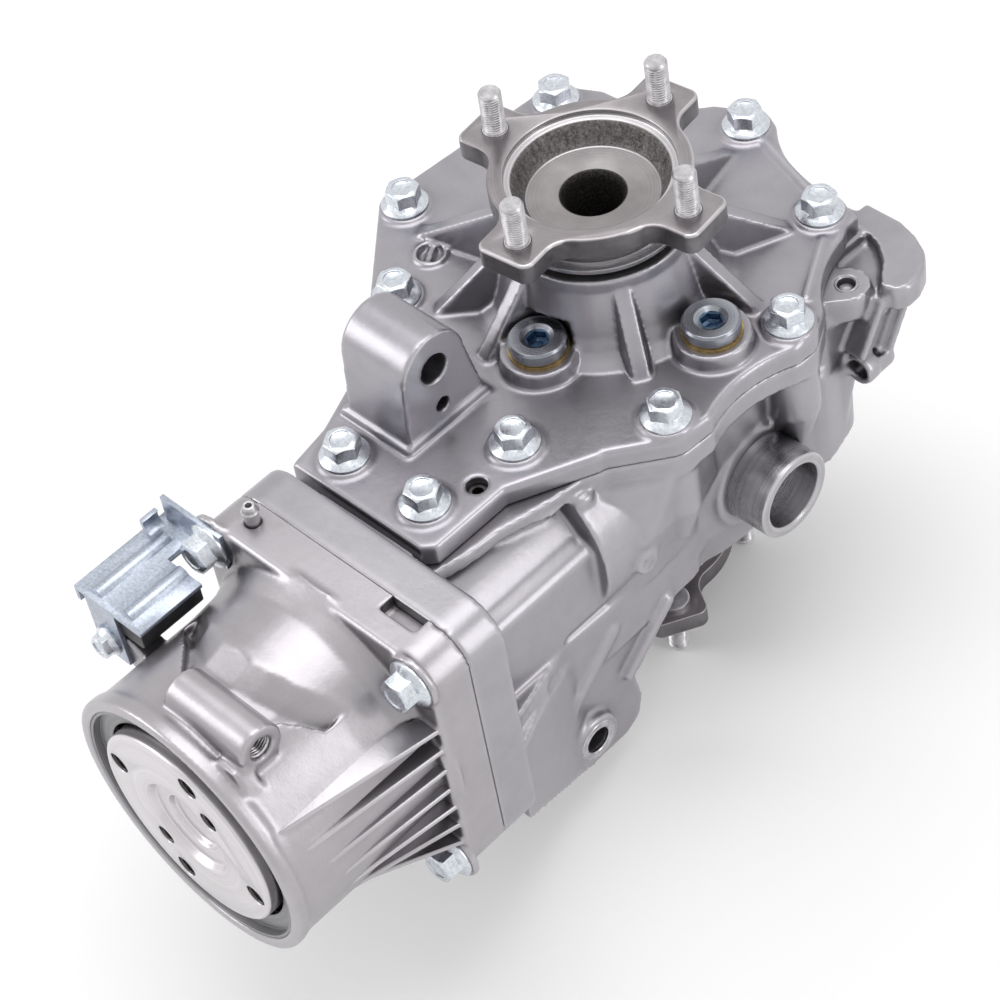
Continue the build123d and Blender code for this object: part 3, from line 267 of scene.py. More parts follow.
def color(red, green, blue):
    out = []
    for value in (red, green, blue):
        share = value / 255
        out.append(share / 12.92 if share <= 0.04045 else ((share + 0.055) / 1.055) ** 2.4)
    return (*out, 1.0)


print("a blue grey in linear values:", [round(v, 3) for v in color(150, 155, 160)])

# %% [markdown]
# Die-cast aluminium has a fine skin that is not quite even: faint clouds in brightness and gloss, tiny
# pits, and edges that handling has polished. Three scales of noise give that, and pointiness finds the
# edges. The Ambient Occlusion node darkens the colour in hollows and corners, which is painted shade.
# The cover is also machined in places, and there the casting's grain gives way to the tool's fine lines.

# %% Die-cast aluminium
def cast_aluminium(name, tint, machined=None):
    finish = Finish(name, Metallic=0.92, Specular_IOR_Level=0.5)
    clouds = finish.noise(34, 4.0, 0.55)
    grain = finish.noise(1.1, 3.0, 0.6)
    flow = finish.noise(9, 3.0, 0.6)
    shade = (clouds * 0.5 + flow * 0.3 + grain * 0.2).above(0.5, 0.5)
    base = finish.mix(shade, color(*(v - 12 for v in tint)), color(*(v + 9 for v in tint)))
    base = finish.mix(finish.edges(0.54, 0.12) * 0.35, base, color(226, 224, 228))
    # Painted shade: the Ambient Occlusion node darkens the base colour towards a dark grey in hollows and
    # corners.
    reach = {"Distance": 28 * MM}
    painted_shade = 1 - finish.node("ShaderNodeAmbientOcclusion", {"samples": 6}, reach, out="AO")
    base = finish.mix(painted_shade * 0.75, base, color(84, 82, 86))
    rough = clouds * 0.12 + grain * 0.10 + 0.22
    height = grain * 0.06 + flow * 0.22
    if machined:
        cut, lines = machined(finish)
        base = finish.mix(cut, base, color(186, 184, 188))
        rough = rough * (1 - cut) + cut * 0.26
        height = height * (1 - cut) + lines * cut * 0.04
    finish.feed("Base Color", base)
    finish.feed("Roughness", rough)
    finish.bump(height, 0.55)
    return finish.material


def cover_machined(finish):
    """The lug's side face and the spot faces for the bolts, with the lines that the cutter left."""
    x, y, z = finish.axes(finish.place())
    across, along, up = finish.normal()
    side = x.above(LUG_FACE * MM, 0.2 * MM) * across.above(0.93, 0.05) * z.above(56 * MM, 1 * MM)
    side = side * (1 - y.above(-70 * MM, 1 * MM))
    seats = z.between((COVER_FACE - 0.3) * MM, (COVER_FACE + 0.3) * MM, 0.1 * MM) * up.above(0.985, 0.01)
    return side.math("MAXIMUM", seats * 0.6), finish.rings(z + y, 0.5)


COVER_CAST = cast_aluminium("cover_cast_aluminium", (160, 157, 163), cover_machined)
CARRIER_CAST = cast_aluminium("carrier_cast_aluminium", (162, 159, 164))
HOUSING_CAST = cast_aluminium("housing_cast_aluminium", (168, 164, 168))
print("cast finishes:", COVER_CAST.name, CARRIER_CAST.name, HOUSING_CAST.name)

# %% [markdown]
# Turned steel carries fine rings around its axis. The rings come from noise that changes only with the
# distance from the axis and along it, so they run round the piece whichever way it faces.

# %% Turned steel
def turned_steel(name, axis, centre, light, dark, rough, ring_mm=0.035):
    """axis is 0, 1 or 2 for X, Y or Z, and centre is where it crosses the other two."""
    finish = Finish(name, Metallic=1.0)
    others = finish.axes(finish.place())
    along = others.pop(axis)
    first, second = (signal - middle * MM for signal, middle in zip(others, centre))
    radius = (first * first + second * second).math("SQRT")
    fine = finish.rings(radius + along, 0.35)
    wide = finish.rings(radius + along * 0.9, 2.6)
    smear = finish.noise(14, 3.0, 0.6)
    tone = fine * 0.45 + wide * 0.35 + smear * 0.2
    finish.feed("Base Color", finish.mix(tone.above(0.5, 0.45), color(*dark), color(*light)))
    finish.feed("Roughness", smear * 0.14 + fine * 0.1 + rough)
    finish.bump(fine * ring_mm, 0.6)
    return finish.material


INPUT_STEEL = turned_steel("input_disc_steel", 1, (INPUT_X, 0), (222, 218, 221), (192, 188, 191), 0.22, 0.012)
DUST_STEEL = turned_steel("dust_ring_steel", 1, (INPUT_X, 0), (160, 159, 161), (104, 103, 105), 0.28)
TUBE_STEEL = turned_steel("mount_tube_steel", 0, (TUBE_Y, TUBE_Z), (205, 203, 206), (150, 148, 152), 0.16)
RING_STEEL = turned_steel("bright_ring_steel", 2, (0, 0), (214, 212, 214), (170, 168, 170), 0.14)
print("turned finishes:", INPUT_STEEL.name, DUST_STEEL.name, TUBE_STEEL.name, RING_STEEL.name)

# %% [markdown]
# An output flange is a forging that is machined only where it has to fit. One material serves all of it,
# with a mask for each zone: a zone is known by its distance from the axis and its depth under the face.
# Each zone then gets two tones and the pattern that runs between them.

# %% Output flange steel
def output_flange_steel():
    bore, floor_edge, step_foot, step_edge = 14.4, 27.9, 33.7, 36.5
    step_depth, floor_depth, plate_depth = 3.6, 13.3, 10.2
    finish = Finish("output_flange_steel", Metallic=0.96)
    x, y, z = finish.axes(finish.place())
    across, along, up = finish.normal()
    radius = (x * x + y * y).math("SQRT") * 1000.0
    depth = OUTPUT_FACE - z.math("ABSOLUTE") * 1000.0
    fine = finish.rings(radius * MM + z, 0.4)
    smear = finish.noise(11, 3.0, 0.6)
    grit = finish.noise(1.1, 5.0, 0.7)
    upright = finish.node("ShaderNodeMapping", None, {"Vector": finish.place(), "Scale": (1, 1, 0.25)})
    streaks = finish.noise(2.4, 3.0, 0.6, upright)
    tone = (fine * 0.5 + smear * 0.5).above(0.5, 0.5)

    hollow = 1 - radius.above(bore, 0.4)
    floor_ = radius.between(bore, floor_edge, 0.3) * depth.above(floor_depth - 0.8, 0.5)
    steps = radius.between(step_foot, step_edge, 0.3) * depth.between(0.15, step_depth, 0.3)
    wall = radius.between(floor_edge, step_foot + 0.05, 0.3)
    wall = wall * depth.between(step_depth - 0.1, floor_depth, 0.4)
    side = (1 - up.math("ABSOLUTE").above(0.6, 0.2)) * radius.above(37.0, 1.0)
    side = side * depth.between(0.5, plate_depth, 0.5)
    below = depth.above(plate_depth + 0.3, 0.6) * radius.above(20.0, 1.0) * (1 - wall) * (1 - floor_)
    zones = [
        (floor_, tone, (132, 128, 129), (168, 164, 164)),
        (steps, fine.above(0.5, 0.3), (150, 147, 149), (226, 224, 226)),
        (wall, (grit * 0.6 + streaks * 0.4).above(0.52, 0.25), (82, 79, 79), (150, 146, 145)),
        (hollow, grit.above(0.6, 0.3), (46, 44, 43), (92, 89, 87)),
        (side, smear.above(0.5, 0.4), (76, 74, 76), (112, 109, 112)),
        (below, fine.above(0.5, 0.4), (150, 148, 150), (196, 194, 196)),
    ]
    base = finish.mix(tone, color(134, 129, 131), color(166, 161, 163))
    for mask, pattern, dark, light in zones:
        base = finish.mix(mask, base, finish.mix(pattern, color(*dark), color(*light)))
    base = finish.mix(finish.edges(0.56, 0.08) * 0.6 * (1 - hollow), base, color(210, 208, 210))
    forged = (wall + hollow + side * 0.5).math("MINIMUM", 1.0)
    height = fine * 0.03 * (1 - forged) + (grit * 0.55 + streaks * 0.3) * wall + grit * hollow * 0.4
    finish.feed("Base Color", base)
    finish.feed("Roughness", smear * 0.1 + fine * 0.08 + forged * 0.26 + 0.24)
    finish.bump(height, 0.6)
    return finish.material, len(zones)


FLANGE_STEEL, zone_count = output_flange_steel()
print("output flange zones", zone_count)

# %% [markdown]
# The smaller finishes need less. Zinc plating is bluish and patchy, gears and bearings are ground steel,
# and all of them are two tones with clouds between. Seals and the connector are black, with a dusty bloom.

# %% Other finishes
def plain_metal(name, light, dark, rough, cloud_mm, bump_mm=0.02):
    finish = Finish(name, Metallic=1.0)
    clouds = finish.noise(cloud_mm, 4.0, 0.6)
    grain = finish.noise(0.7, 2.0, 0.5)
    finish.feed("Base Color", finish.mix(clouds.above(0.5, 0.4), color(*dark), color(*light)))
    finish.feed("Roughness", clouds * 0.16 + grain * 0.08 + rough)
    finish.bump(grain * bump_mm + clouds * bump_mm, 0.8)
    return finish.material


def dusty_black(name, tone, rough, grain_mm):
    finish = Finish(name)
    grain = finish.noise(grain_mm, 4.0, 0.6)
    dust = finish.noise(9, 3.0, 0.6).above(0.55, 0.3)
    finish.feed("Base Color", finish.mix(dust, color(*tone), color(*(v + 16 for v in tone))))
    finish.feed("Roughness", grain * 0.2 + rough)
    finish.bump(grain * 0.06, 0.7)
    return finish.material


ZINC = plain_metal("zinc_plating", (222, 225, 230), (190, 196, 204), 0.17, 1.6)
BRACKET_ZINC = plain_metal("bracket_zinc_plating", (190, 196, 207), (152, 160, 172), 0.24, 1.2)
STUD_STEEL = plain_metal("stud_steel", (212, 210, 212), (170, 168, 171), 0.26, 4.0)
GEAR_STEEL = plain_metal("ground_gear_steel", (176, 176, 180), (128, 128, 132), 0.24, 3.0)
BEARING_STEEL = plain_metal("polished_bearing_steel", (222, 222, 224), (186, 186, 190), 0.08, 8.0)
# Oiled dark steel for the inner parts; on the input disc's threaded holes it also paints the shade inside the
# holes.
DARK_STEEL = plain_metal("oiled_dark_steel", (104, 102, 102), (66, 65, 66), 0.30, 5.0)
PLATE_STEEL = plain_metal("stamped_plate_steel", (170, 168, 166), (122, 120, 118), 0.28, 7.0)
BRASS = plain_metal("washer_brass", (196, 170, 116), (146, 122, 80), 0.26, 2.0)
BLUED = plain_metal("blued_socket_steel", (112, 136, 160), (58, 78, 104), 0.18, 3.0)
BORED_ALUMINIUM = plain_metal("machined_aluminium", (206, 204, 208), (160, 157, 162), 0.16, 5.0, 0.01)
RUBBER = dusty_black("seal_rubber", (34, 33, 34), 0.42, 1.2)
PLASTIC = dusty_black("connector_plastic", (40, 40, 43), 0.36, 0.8)
print("materials, with the solid's own", len(bpy.data.materials))

# %% [markdown]
# Pieces that are only machined keep their solid shape. A copy of the mesh gets a small bevel on its sharp
# edges, because a real edge is never perfectly sharp and its thin highlight is what makes metal look like
# metal. The copy stands in for the solid, rides on the same body and has the same kind of material.

# %% Copies that stand in for solids
def dress(obj, node, material, instead=True):
    """Ties a piece to a node's body and material, in place of the node's solid or beside it."""
    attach(obj, NODES[node]["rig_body"])
    if instead:
        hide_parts(node)
    obj.data.materials.clear()
    obj.data.materials.append(material)
    return obj


def settle(obj):
    """Turns the object's modifiers into its mesh."""
    bpy.context.view_layer.update()
    graph = bpy.context.evaluated_depsgraph_get()
    mesh = bpy.data.meshes.new_from_object(obj.evaluated_get(graph))
    obj.modifiers.clear()
    obj.data = mesh
    return obj


def welded(node, name, flatten=False):
    """A copy of a solid with its doubled points joined and, where asked, its flat faces made whole."""
    mesh = NODES[node].data.copy()
    shape = bmesh.new()
    shape.from_mesh(mesh)
    bmesh.ops.remove_doubles(shape, verts=shape.verts, dist=1e-6)
    if flatten:
        bmesh.ops.dissolve_limit(shape, angle_limit=math.radians(1.0), verts=shape.verts, edges=shape.edges)
    shape.to_mesh(mesh)
    shape.free()
    return put(name, mesh)


def smooth(mesh, sharp_degrees):
    mesh.shade_smooth()
    mesh.set_sharp_from_angle(angle=math.radians(sharp_degrees))


print("solid of the input flange has", len(NODES["input_flange"].data.polygons), "faces")

# %% [markdown]
# The bevel's width follows the piece: half a millimetre on turned parts, less on thin sheet and small
# screws. The Bevel modifier is used rather than a hand-made edge, because it only needs an angle to know
# what is sharp.

# %% Bevelled copies
def bevelled(node, material, width_mm):
    obj = welded(node, node + "_dressed", flatten=True)
    bevel = obj.modifiers.new("bevel", "BEVEL")
    bevel.width = width_mm * MM
    bevel.segments = 2
    bevel.limit_method = "ANGLE"
    bevel.angle_limit = math.radians(32)
    bevel.use_clamp_overlap = True
    bevel.harden_normals = False
    smooth(settle(obj).data, 38)
    return dress(obj, node, material)


BEVELLED = {
    "mount_tube": (TUBE_STEEL, 0.5),
    "input_flange": (INPUT_STEEL, 0.5),
    "upper_output_flange": (FLANGE_STEEL, 0.6),
    "lower_output_flange": (FLANGE_STEEL, 0.6),
    "upper_dust_deflector": (RING_STEEL, 0.25),
    "lower_dust_deflector": (RING_STEEL, 0.25),
    "upper_output_seal": (RUBBER, 0.3),
    "lower_output_seal": (RUBBER, 0.3),
    "dust_ring": (DUST_STEEL, 0.25),
    "cover_bolts": (ZINC, 0.35),
    "coupling_bolts": (ZINC, 0.35),
    "bracket_screw": (ZINC, 0.25),
    "connector_bracket": (BRACKET_ZINC, 0.3),
    "harness_connector": (PLASTIC, 0.6),
    "breather_pipe": (STUD_STEEL, 0.15),
}
for node, (material, width) in BEVELLED.items():
    print(node, "faces", len(bevelled(node, material, width).data.polygons))

# %% [markdown]
# Screw threads are what tells a stud from a plain pin. A thread is a turned shape whose radius also depends
# on the angle: after one turn the groove has moved up by one pitch. So the rows of a turned mesh are laid
# closer than the pitch, and each point's radius drops where the groove passes. A bump would be cheaper, but
# the stud's outline against the light would stay straight.

# %% Threads
ROWS_PER_TURN, FADE_ROWS = 6, 4


def groove_at(height, angle, pitch):
    """0 on the crest and 1 in the root of the thread."""
    turn = (height / pitch - angle / (2 * math.pi)) % 1.0
    return min(1.0, max(0.0, 1.6 - abs(turn - 0.5) * 4.4))


def threaded_rows(profile, first, last, pitch):
    """The profile with close rows on the wall between two heights. Each row says how deep its thread is, from
    0 to 1, because a thread fades in and out at its ends."""
    rows = []
    for (radius, height), (next_radius, next_height) in zip(profile, profile[1:] + profile[:1]):
        rows.append((radius, height, 0.0))
        low, high = sorted((height, next_height))
        if low <= first + 0.01 and high >= last - 0.01 and abs(radius - next_radius) < 0.01:
            count = int((last - first) / pitch * ROWS_PER_TURN)
            steps = []
            for i in range(1, count):
                share = min(1.0, i / FADE_ROWS, (count - i) / FADE_ROWS)
                steps.append((radius, first + (last - first) * i / count, share))
            rows += steps if next_height > height else steps[::-1]
    return rows


print("rows in one turn of thread", ROWS_PER_TURN)

# %% [markdown]
# A turned mesh is a profile swept round an axis. It is built point by point rather than with the Screw
# modifier, because each point of a threaded row has its own radius. A point on the axis closes the form
# with a fan.

# %% Turned meshes
def turned_mesh(name, profile, stands, thread=None, sides=40):
    """A turned closed form on each stand, through (radius, height) points in millimetres.

    thread is (first, last, pitch, depth): between the two heights the surface is threaded."""
    rows, pitch, depth = [(radius, height, 0.0) for radius, height in profile], 1.0, 0.0
    if thread:
        first, last, pitch, depth = thread
        rows = threaded_rows(profile, first, last, pitch)
    closed = rows[0][0] > 0.01
    shape = bmesh.new()
    for stand in stands:
        rings = []
        for radius, height, share in rows:
            if radius < 0.01:
                rings.append([shape.verts.new(stand @ Vector((0, 0, height * MM)))])
                continue
            ring = []
            for i in range(sides):
                angle = 2 * math.pi * i / sides
                real = radius - depth * share * groove_at(height, angle, pitch)
                point = Vector((real * math.cos(angle), real * math.sin(angle), height))
                ring.append(shape.verts.new(stand @ (point * MM)))
            rings.append(ring)
        for lower, upper in zip(rings, rings[1:] + rings[:1] if closed else rings[1:]):
            for i in range(sides):
                j = (i + 1) % sides
                corners = [lower[i % len(lower)], lower[j % len(lower)]]
                corners += [upper[j % len(upper)], upper[i % len(upper)]]
                kept = [vertex for k, vertex in enumerate(corners) if vertex not in corners[:k]]
                if len(kept) > 2:
                    shape.faces.new(kept)
    bmesh.ops.recalc_face_normals(shape, faces=shape.faces)
    mesh = bpy.data.meshes.new(name)
    shape.to_mesh(mesh)
    shape.free()
    smooth(mesh, 42)
    return mesh


def standing(x, y, z, toward=(0, 0, 1)):
    """A frame at a place in millimetres whose Z looks along a direction."""
    turn = Vector(toward).to_track_quat("Z", "Y").to_matrix().to_4x4()
    return Matrix.Translation(Vector((x, y, z)) * MM) @ turn


print("a frame that looks along Y turns Z to", [round(v) for v in standing(0, 0, 0, (0, 1, 0)).col[2]])

# %% [markdown]
# Four studs stand on each output flange, with their heads under its ears. The pitch is the usual one for a
# 10 mm screw.

# %% Studs
PITCH = 1.25
STUD_PROFILE = [
    (0, -13), (6.6, -13), (7.5, -12.4), (7.5, -10), (5.5, -10), (5.5, 0), (4.97, 0.05), (4.97, 19.3),
    (4.2, 20.45), (0, 20.45),
]
for node, first_degrees, face in (("upper_output_studs", 186.65, 1), ("lower_output_studs", -29.7, -1)):
    stands = []
    for i in range(4):
        angle = math.radians(first_degrees + 90 * i)
        x, y = STUD_CIRCLE * math.cos(angle), STUD_CIRCLE * math.sin(angle)
        stands.append(standing(x, y, OUTPUT_FACE * face, (0, 0, face)))
    mesh = turned_mesh(node + "_threaded", STUD_PROFILE, stands, (0.6, 19.2, PITCH, 0.62))
    dress(put(mesh.name, mesh), node, STUD_STEEL)
    print(node, "faces", len(mesh.polygons))

# %% [markdown]
# A tapped hole is a plain hole in the solid. A thin sleeve with the thread on its inside lines it, which
# shows the thread without cutting into the solid. Four holes in the input disc take the shaft's screws, two
# smaller ones take a puller, and one in the drum's boss takes a cable clip's screw.

# %% Tapped holes
HOLE_FOOT = -279.6


def tapped(name, stands, radius, low, high, node, material):
    wall = [(radius - 0.05, low), (radius - 0.05, high), (radius + 0.3, high), (radius + 0.3, low)]
    mesh = turned_mesh(name, wall, stands, (low + 0.3, high - 0.3, PITCH, 0.7), 36)
    print(name, "faces", len(mesh.polygons))
    return dress(put(name, mesh), node, material, instead=False)


def on_disc(radius, first_degrees, count):
    """Even places round the input disc, at the foot of its holes."""
    stands = []
    for i in range(count):
        angle = math.radians(first_degrees + 360 / count * i)
        x, z = INPUT_X + radius * math.cos(angle), radius * math.sin(angle)
        stands.append(standing(x, HOLE_FOOT, z, (0, -1, 0)))
    return stands


# Painted shade: the dark oiled steel on the threads of the input disc's holes also stands for the shade
# inside these holes.
tapped("input_disc_threads", on_disc(38.9, -17.5, 4), 5.0, 1.0, 8.4, "input_flange", DARK_STEEL)
tapped("puller_threads", on_disc(29.0, 48.3, 2), 4.5, 1.0, 8.4, "input_flange", DARK_STEEL)
drum_boss = standing(INPUT_X, -265.8, 60.0, (1, 0, 0))
tapped("drum_boss_threads", [drum_boss], 5.2, 10.0, 35.2, "coupling_housing", STUD_STEEL)

# %% [markdown]
# Two bores of the carrier are machined into the rough casting. A turned ring with small bevels lines each,
# and its clean edge shows that a tool has been there.

# %% Machined bores
def bored(name, stand, inner, outer, low, high, material):
    wall = [(inner, low), (inner, high - 0.5), (inner + 0.5, high)]
    wall += [(outer - 0.7, high), (outer, high - 0.7), (outer, low)]
    mesh = turned_mesh(name, wall, [stand], sides=48)
    print(name, "faces", len(mesh.polygons))
    return dress(put(name, mesh), "differential_carrier", material, instead=False)


boss_face = standing(LOWER_BOSS_FACE, *LOWER_BOLT, (1, 0, 0))
bored("lower_boss_bore", boss_face, 6.5, 10.6, -12, 0.3, BORED_ALUMINIUM)
bored("rear_ear_bore", standing(*EAR, EAR_TOP), 3.9, 5.6, -9, 0.25, CARRIER_CAST)

# %% [markdown]
# Many small forms here are closed meshes through rings with equal numbers of points: a plate is two rings,
# and a form that tapers is more. One function builds them all, in millimetres, and makes its faces look
# outward.

# %% Forms through rings
def circle(x, y, radius, count=24, start=0.0, end=360.0):
    steps = [math.radians(start + (end - start) * i / count) for i in range(count)]
    return [(x + radius * math.cos(a), y + radius * math.sin(a)) for a in steps]


def stacked(rings):
    shape = bmesh.new()
    rows = [[shape.verts.new(Vector(point) * MM) for point in ring] for ring in rings]
    count = len(rows[0])
    for lower, upper in zip(rows, rows[1:]):
        for i in range(count):
            j = (i + 1) % count
            shape.faces.new((lower[i], lower[j], upper[j], upper[i]))
    shape.faces.new(rows[0][::-1])
    shape.faces.new(rows[-1])
    bmesh.ops.recalc_face_normals(shape, faces=shape.faces)
    return shape


print("a circle of radius 5 starts at", circle(0, 0, 5)[0])

# %% [markdown]
# The two oil plugs are turned discs with a hexagonal socket. The rings change from circles to hexagons on
# the way down, so the socket's walls are clean quads. The socket was hardened, which left it blue, so the
# faces inside get a second finish.

# %% Oil plugs
PLUG_SIDES, PLUG_HEIGHT, SOCKET_REACH = 60, 6.0, 5.2


def hexagon(across_flats, sides):
    """Points of a hexagon at even angles, so that they pair with a circle's."""
    points = []
    for i in range(sides):
        angle = 2 * math.pi * i / sides
        off_flat = (angle + math.pi / 6) % (math.pi / 3) - math.pi / 6
        reach = across_flats / 2 / math.cos(off_flat)
        points.append((reach * math.cos(angle), reach * math.sin(angle)))
    return points


def oil_plug(node, x, y):
    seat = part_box(node)[1][2] / MM - PLUG_HEIGHT
    rounds = [(9.4, -9.8), (9.4, 0.0), (12.2, 0.0), (12.5, 0.3), (12.5, 5.0), (11.7, 5.9)]
    rounds += [(11.4, PLUG_HEIGHT), (7.3, PLUG_HEIGHT), (7.1, 5.9), (5.3, 4.7)]
    levels = [(circle(0, 0, radius, PLUG_SIDES), height) for radius, height in rounds]
    for across_flats, height in ((8.5, 4.5), (8.2, 4.2), (8.2, 0.9), (5.0, 0.4)):
        levels.append((hexagon(across_flats, PLUG_SIDES), height))
    shape = stacked([[(x + px, y + py, seat + height) for px, py in outline] for outline, height in levels])
    mesh = bpy.data.meshes.new(node + "_turned")
    shape.to_mesh(mesh)
    shape.free()
    smooth(mesh, 14)
    steel = turned_steel(node + "_steel", 2, (x, y), (178, 180, 186), (118, 122, 130), 0.16, 0.02)
    plug = dress(put(node + "_turned", mesh), node, steel)
    mesh.materials.append(BLUED)
    for face in mesh.polygons:
        off_axis = math.hypot(face.center.x / MM - x, face.center.y / MM - y)
        if off_axis < SOCKET_REACH and face.center.z / MM > seat:
            face.material_index = 1
    return plug


for node, place in OIL_PLUGS.items():
    print(node, "faces", len(oil_plug(node, *place).data.polygons))

# %% [markdown]
# What lies inside the unit stays as its solid and only gets its finish, and so do the plugs' washers and
# the dowel. The inside is seen through gaps, and when the unit is taken apart.

# %% Finishes on the solids
KEPT = {
    BRASS: ["fill_plug_washer", "drain_plug_washer"],
    RUBBER: ["input_seal", "pinion_seal"],
    PLATE_STEEL: ["viscous_drum", "drum_end_cover", "outer_plates", "inner_plates", "spider_washers"],
    DARK_STEEL: ["dowel_pins", "hub_circlip", "bearing_spacer", "pinion_nut", "ring_gear_bolts"],
    GEAR_STEEL: ["coupling_hub", "pinion_shaft", "ring_gear", "cross_pin", "spider_gear_a", "spider_gear_b"],
    BEARING_STEEL: ["input_bearing_inner_ring", "input_bearing_outer_ring"],
}
KEPT[DARK_STEEL].append("differential_case")
KEPT[GEAR_STEEL] += ["upper_side_gear", "lower_side_gear"]
for place in ("pinion_front", "pinion_rear", "upper_side", "lower_side"):
    KEPT[BEARING_STEEL] += [place + "_bearing_cone", place + "_bearing_cup"]
for material, nodes in KEPT.items():
    for node in nodes:
        NODES[node].data.materials.clear()
        NODES[node].data.materials.append(material)
    print(material.name, "on", len(nodes), "solids")

# %% [markdown]
# Cast pieces have no sharp corners at all: metal flows into a mould through rounded ways. The solid is
# turned into an even skin of small faces, and the skin is relaxed, which rounds outside corners and fills
# inside ones. Before that, some forms are added to a casting and some room is carved out of it. These
# helpers draw such forms over an outline, upright or along an axis.

# %% Small closed forms for the castings
def plate(outline, low, high, soft=0.0):
    """An upright plate over an outline, its top edge drawn in a little."""
    middle = Vector((sum(x for x, y in outline), sum(y for x, y in outline))) / len(outline)
    rings = [[(x, y, low) for x, y in outline], [(x, y, high - soft) for x, y in outline]]
    if soft:
        drawn = []
        for x, y in outline:
            inward = (middle - Vector((x, y))).normalized() * soft * 0.6
            drawn.append((x + inward.x, y + inward.y, high))
        rings.append(drawn)
    return stacked(rings)


def through_levels(levels):
    """A form through an outline of x and y at each height."""
    return stacked([[(x, y, z) for x, y in outline] for z, outline in levels])


def along_y(outline, low, high):
    """A bar along Y over an outline of x and z."""
    return stacked([[(x, y, z) for x, z in outline] for y in (low, high)])


def along_x(outline, low, high):
    """A bar along X over an outline of y and z."""
    return stacked([[(x, y, z) for y, z in outline] for x in (low, high)])


def hull(circles):
    """The outline of a tight band round some circles."""
    cloud = [Vector(point) for x, y, radius in circles for point in circle(x, y, radius)]
    order = [cloud[i] for i in geometry.convex_hull_2d(cloud)]
    return [(point.x, point.y) for point in order]


print("a test band has", len(hull([(0, 0, 5), (20, 0, 3)])), "points")

# %% [markdown]
# A form becomes an object when a modifier has to work on it. The Boolean modifier takes one object out of
# another, and its Exact solver copes with forms that overlap.

# %% Objects from forms
def to_object(name, shapes):
    whole = bpy.data.meshes.new(name)
    joined = bmesh.new()
    for shape in shapes:
        shape.to_mesh(whole)
        joined.from_mesh(whole)
        shape.free()
    joined.to_mesh(whole)
    joined.free()
    return put(name, whole)


def carve(obj, cutter):
    """Takes the cutter's room out of the object and removes the cutter."""
    change = obj.modifiers.new("carve", "BOOLEAN")
    change.operation = "DIFFERENCE"
    change.solver = "EXACT"
    change.use_self = True
    change.object = cutter
    settle(obj)
    bpy.data.objects.remove(cutter)
    return obj


def with_hole(name, shapes, hole):
    return carve(to_object(name, shapes), to_object(name + "_hole", [hole]))


# %% [markdown]
# The solid has the carrier's rear corner and the flank of its neck as simple blocks. The room round them is
# carved free first: beside the neck, over the neck's shoulder next to the cover's edge, and round the
# corner. The neck itself is left round by the arc in the cutter's outline.

# %% Room beside the carrier's neck
BLOCK_BACK, NECK_BACK = -166.45, -91
NECK_RADIUS = 33.4


def carrier_room():
    neck = [(INPUT_X + x, z) for x, z in circle(0, 0, NECK_RADIUS, 10, 88, 26)]
    flank = neck + [(70.0, 14.5), (72.1, 11.5), (72.1, -33.0), (125, -33.0), (125, 34.5), (35.8, 34.5)]
    cover_edge = [(47, BLOCK_BACK), (53, -140), (54.5, -124), (58, -110), (62, -100), (63, NECK_BACK)]
    shoulder = cover_edge + [(125, NECK_BACK), (125, BLOCK_BACK)]
    corner = [(61.6, 78), (66.8, 70), (71.0, 60.5), (74, 53), (112, 53), (112, 116), (61.6, 116)]
    under_ear = [(38, -14), (82, -14), (82, 27), (38, 27)]
    cutters = [along_y(flank, BLOCK_BACK, NECK_BACK), plate(shoulder, 33, 66), plate(corner, 19, 43)]
    return to_object("carrier_room", cutters + [along_x(under_ear, 73.5, 100)])


print("the neck is left", 2 * NECK_RADIUS, "mm across")

# %% [markdown]
# The rear corner holds a curved shelf level with the cover's joint, an ear with a hole, and a
# channel-shaped strut that slants down to a small eye. The flank behind them closes the bowl. Each is a
# slim plate of its own, because such walls are only a few millimetres thick on the casting.

# %% Rear corner of the carrier
EYE = (85.5, 0.5)
STRUT_INNER, STRUT_WEB, STRUT_OUTER = 81, 86.5, 91


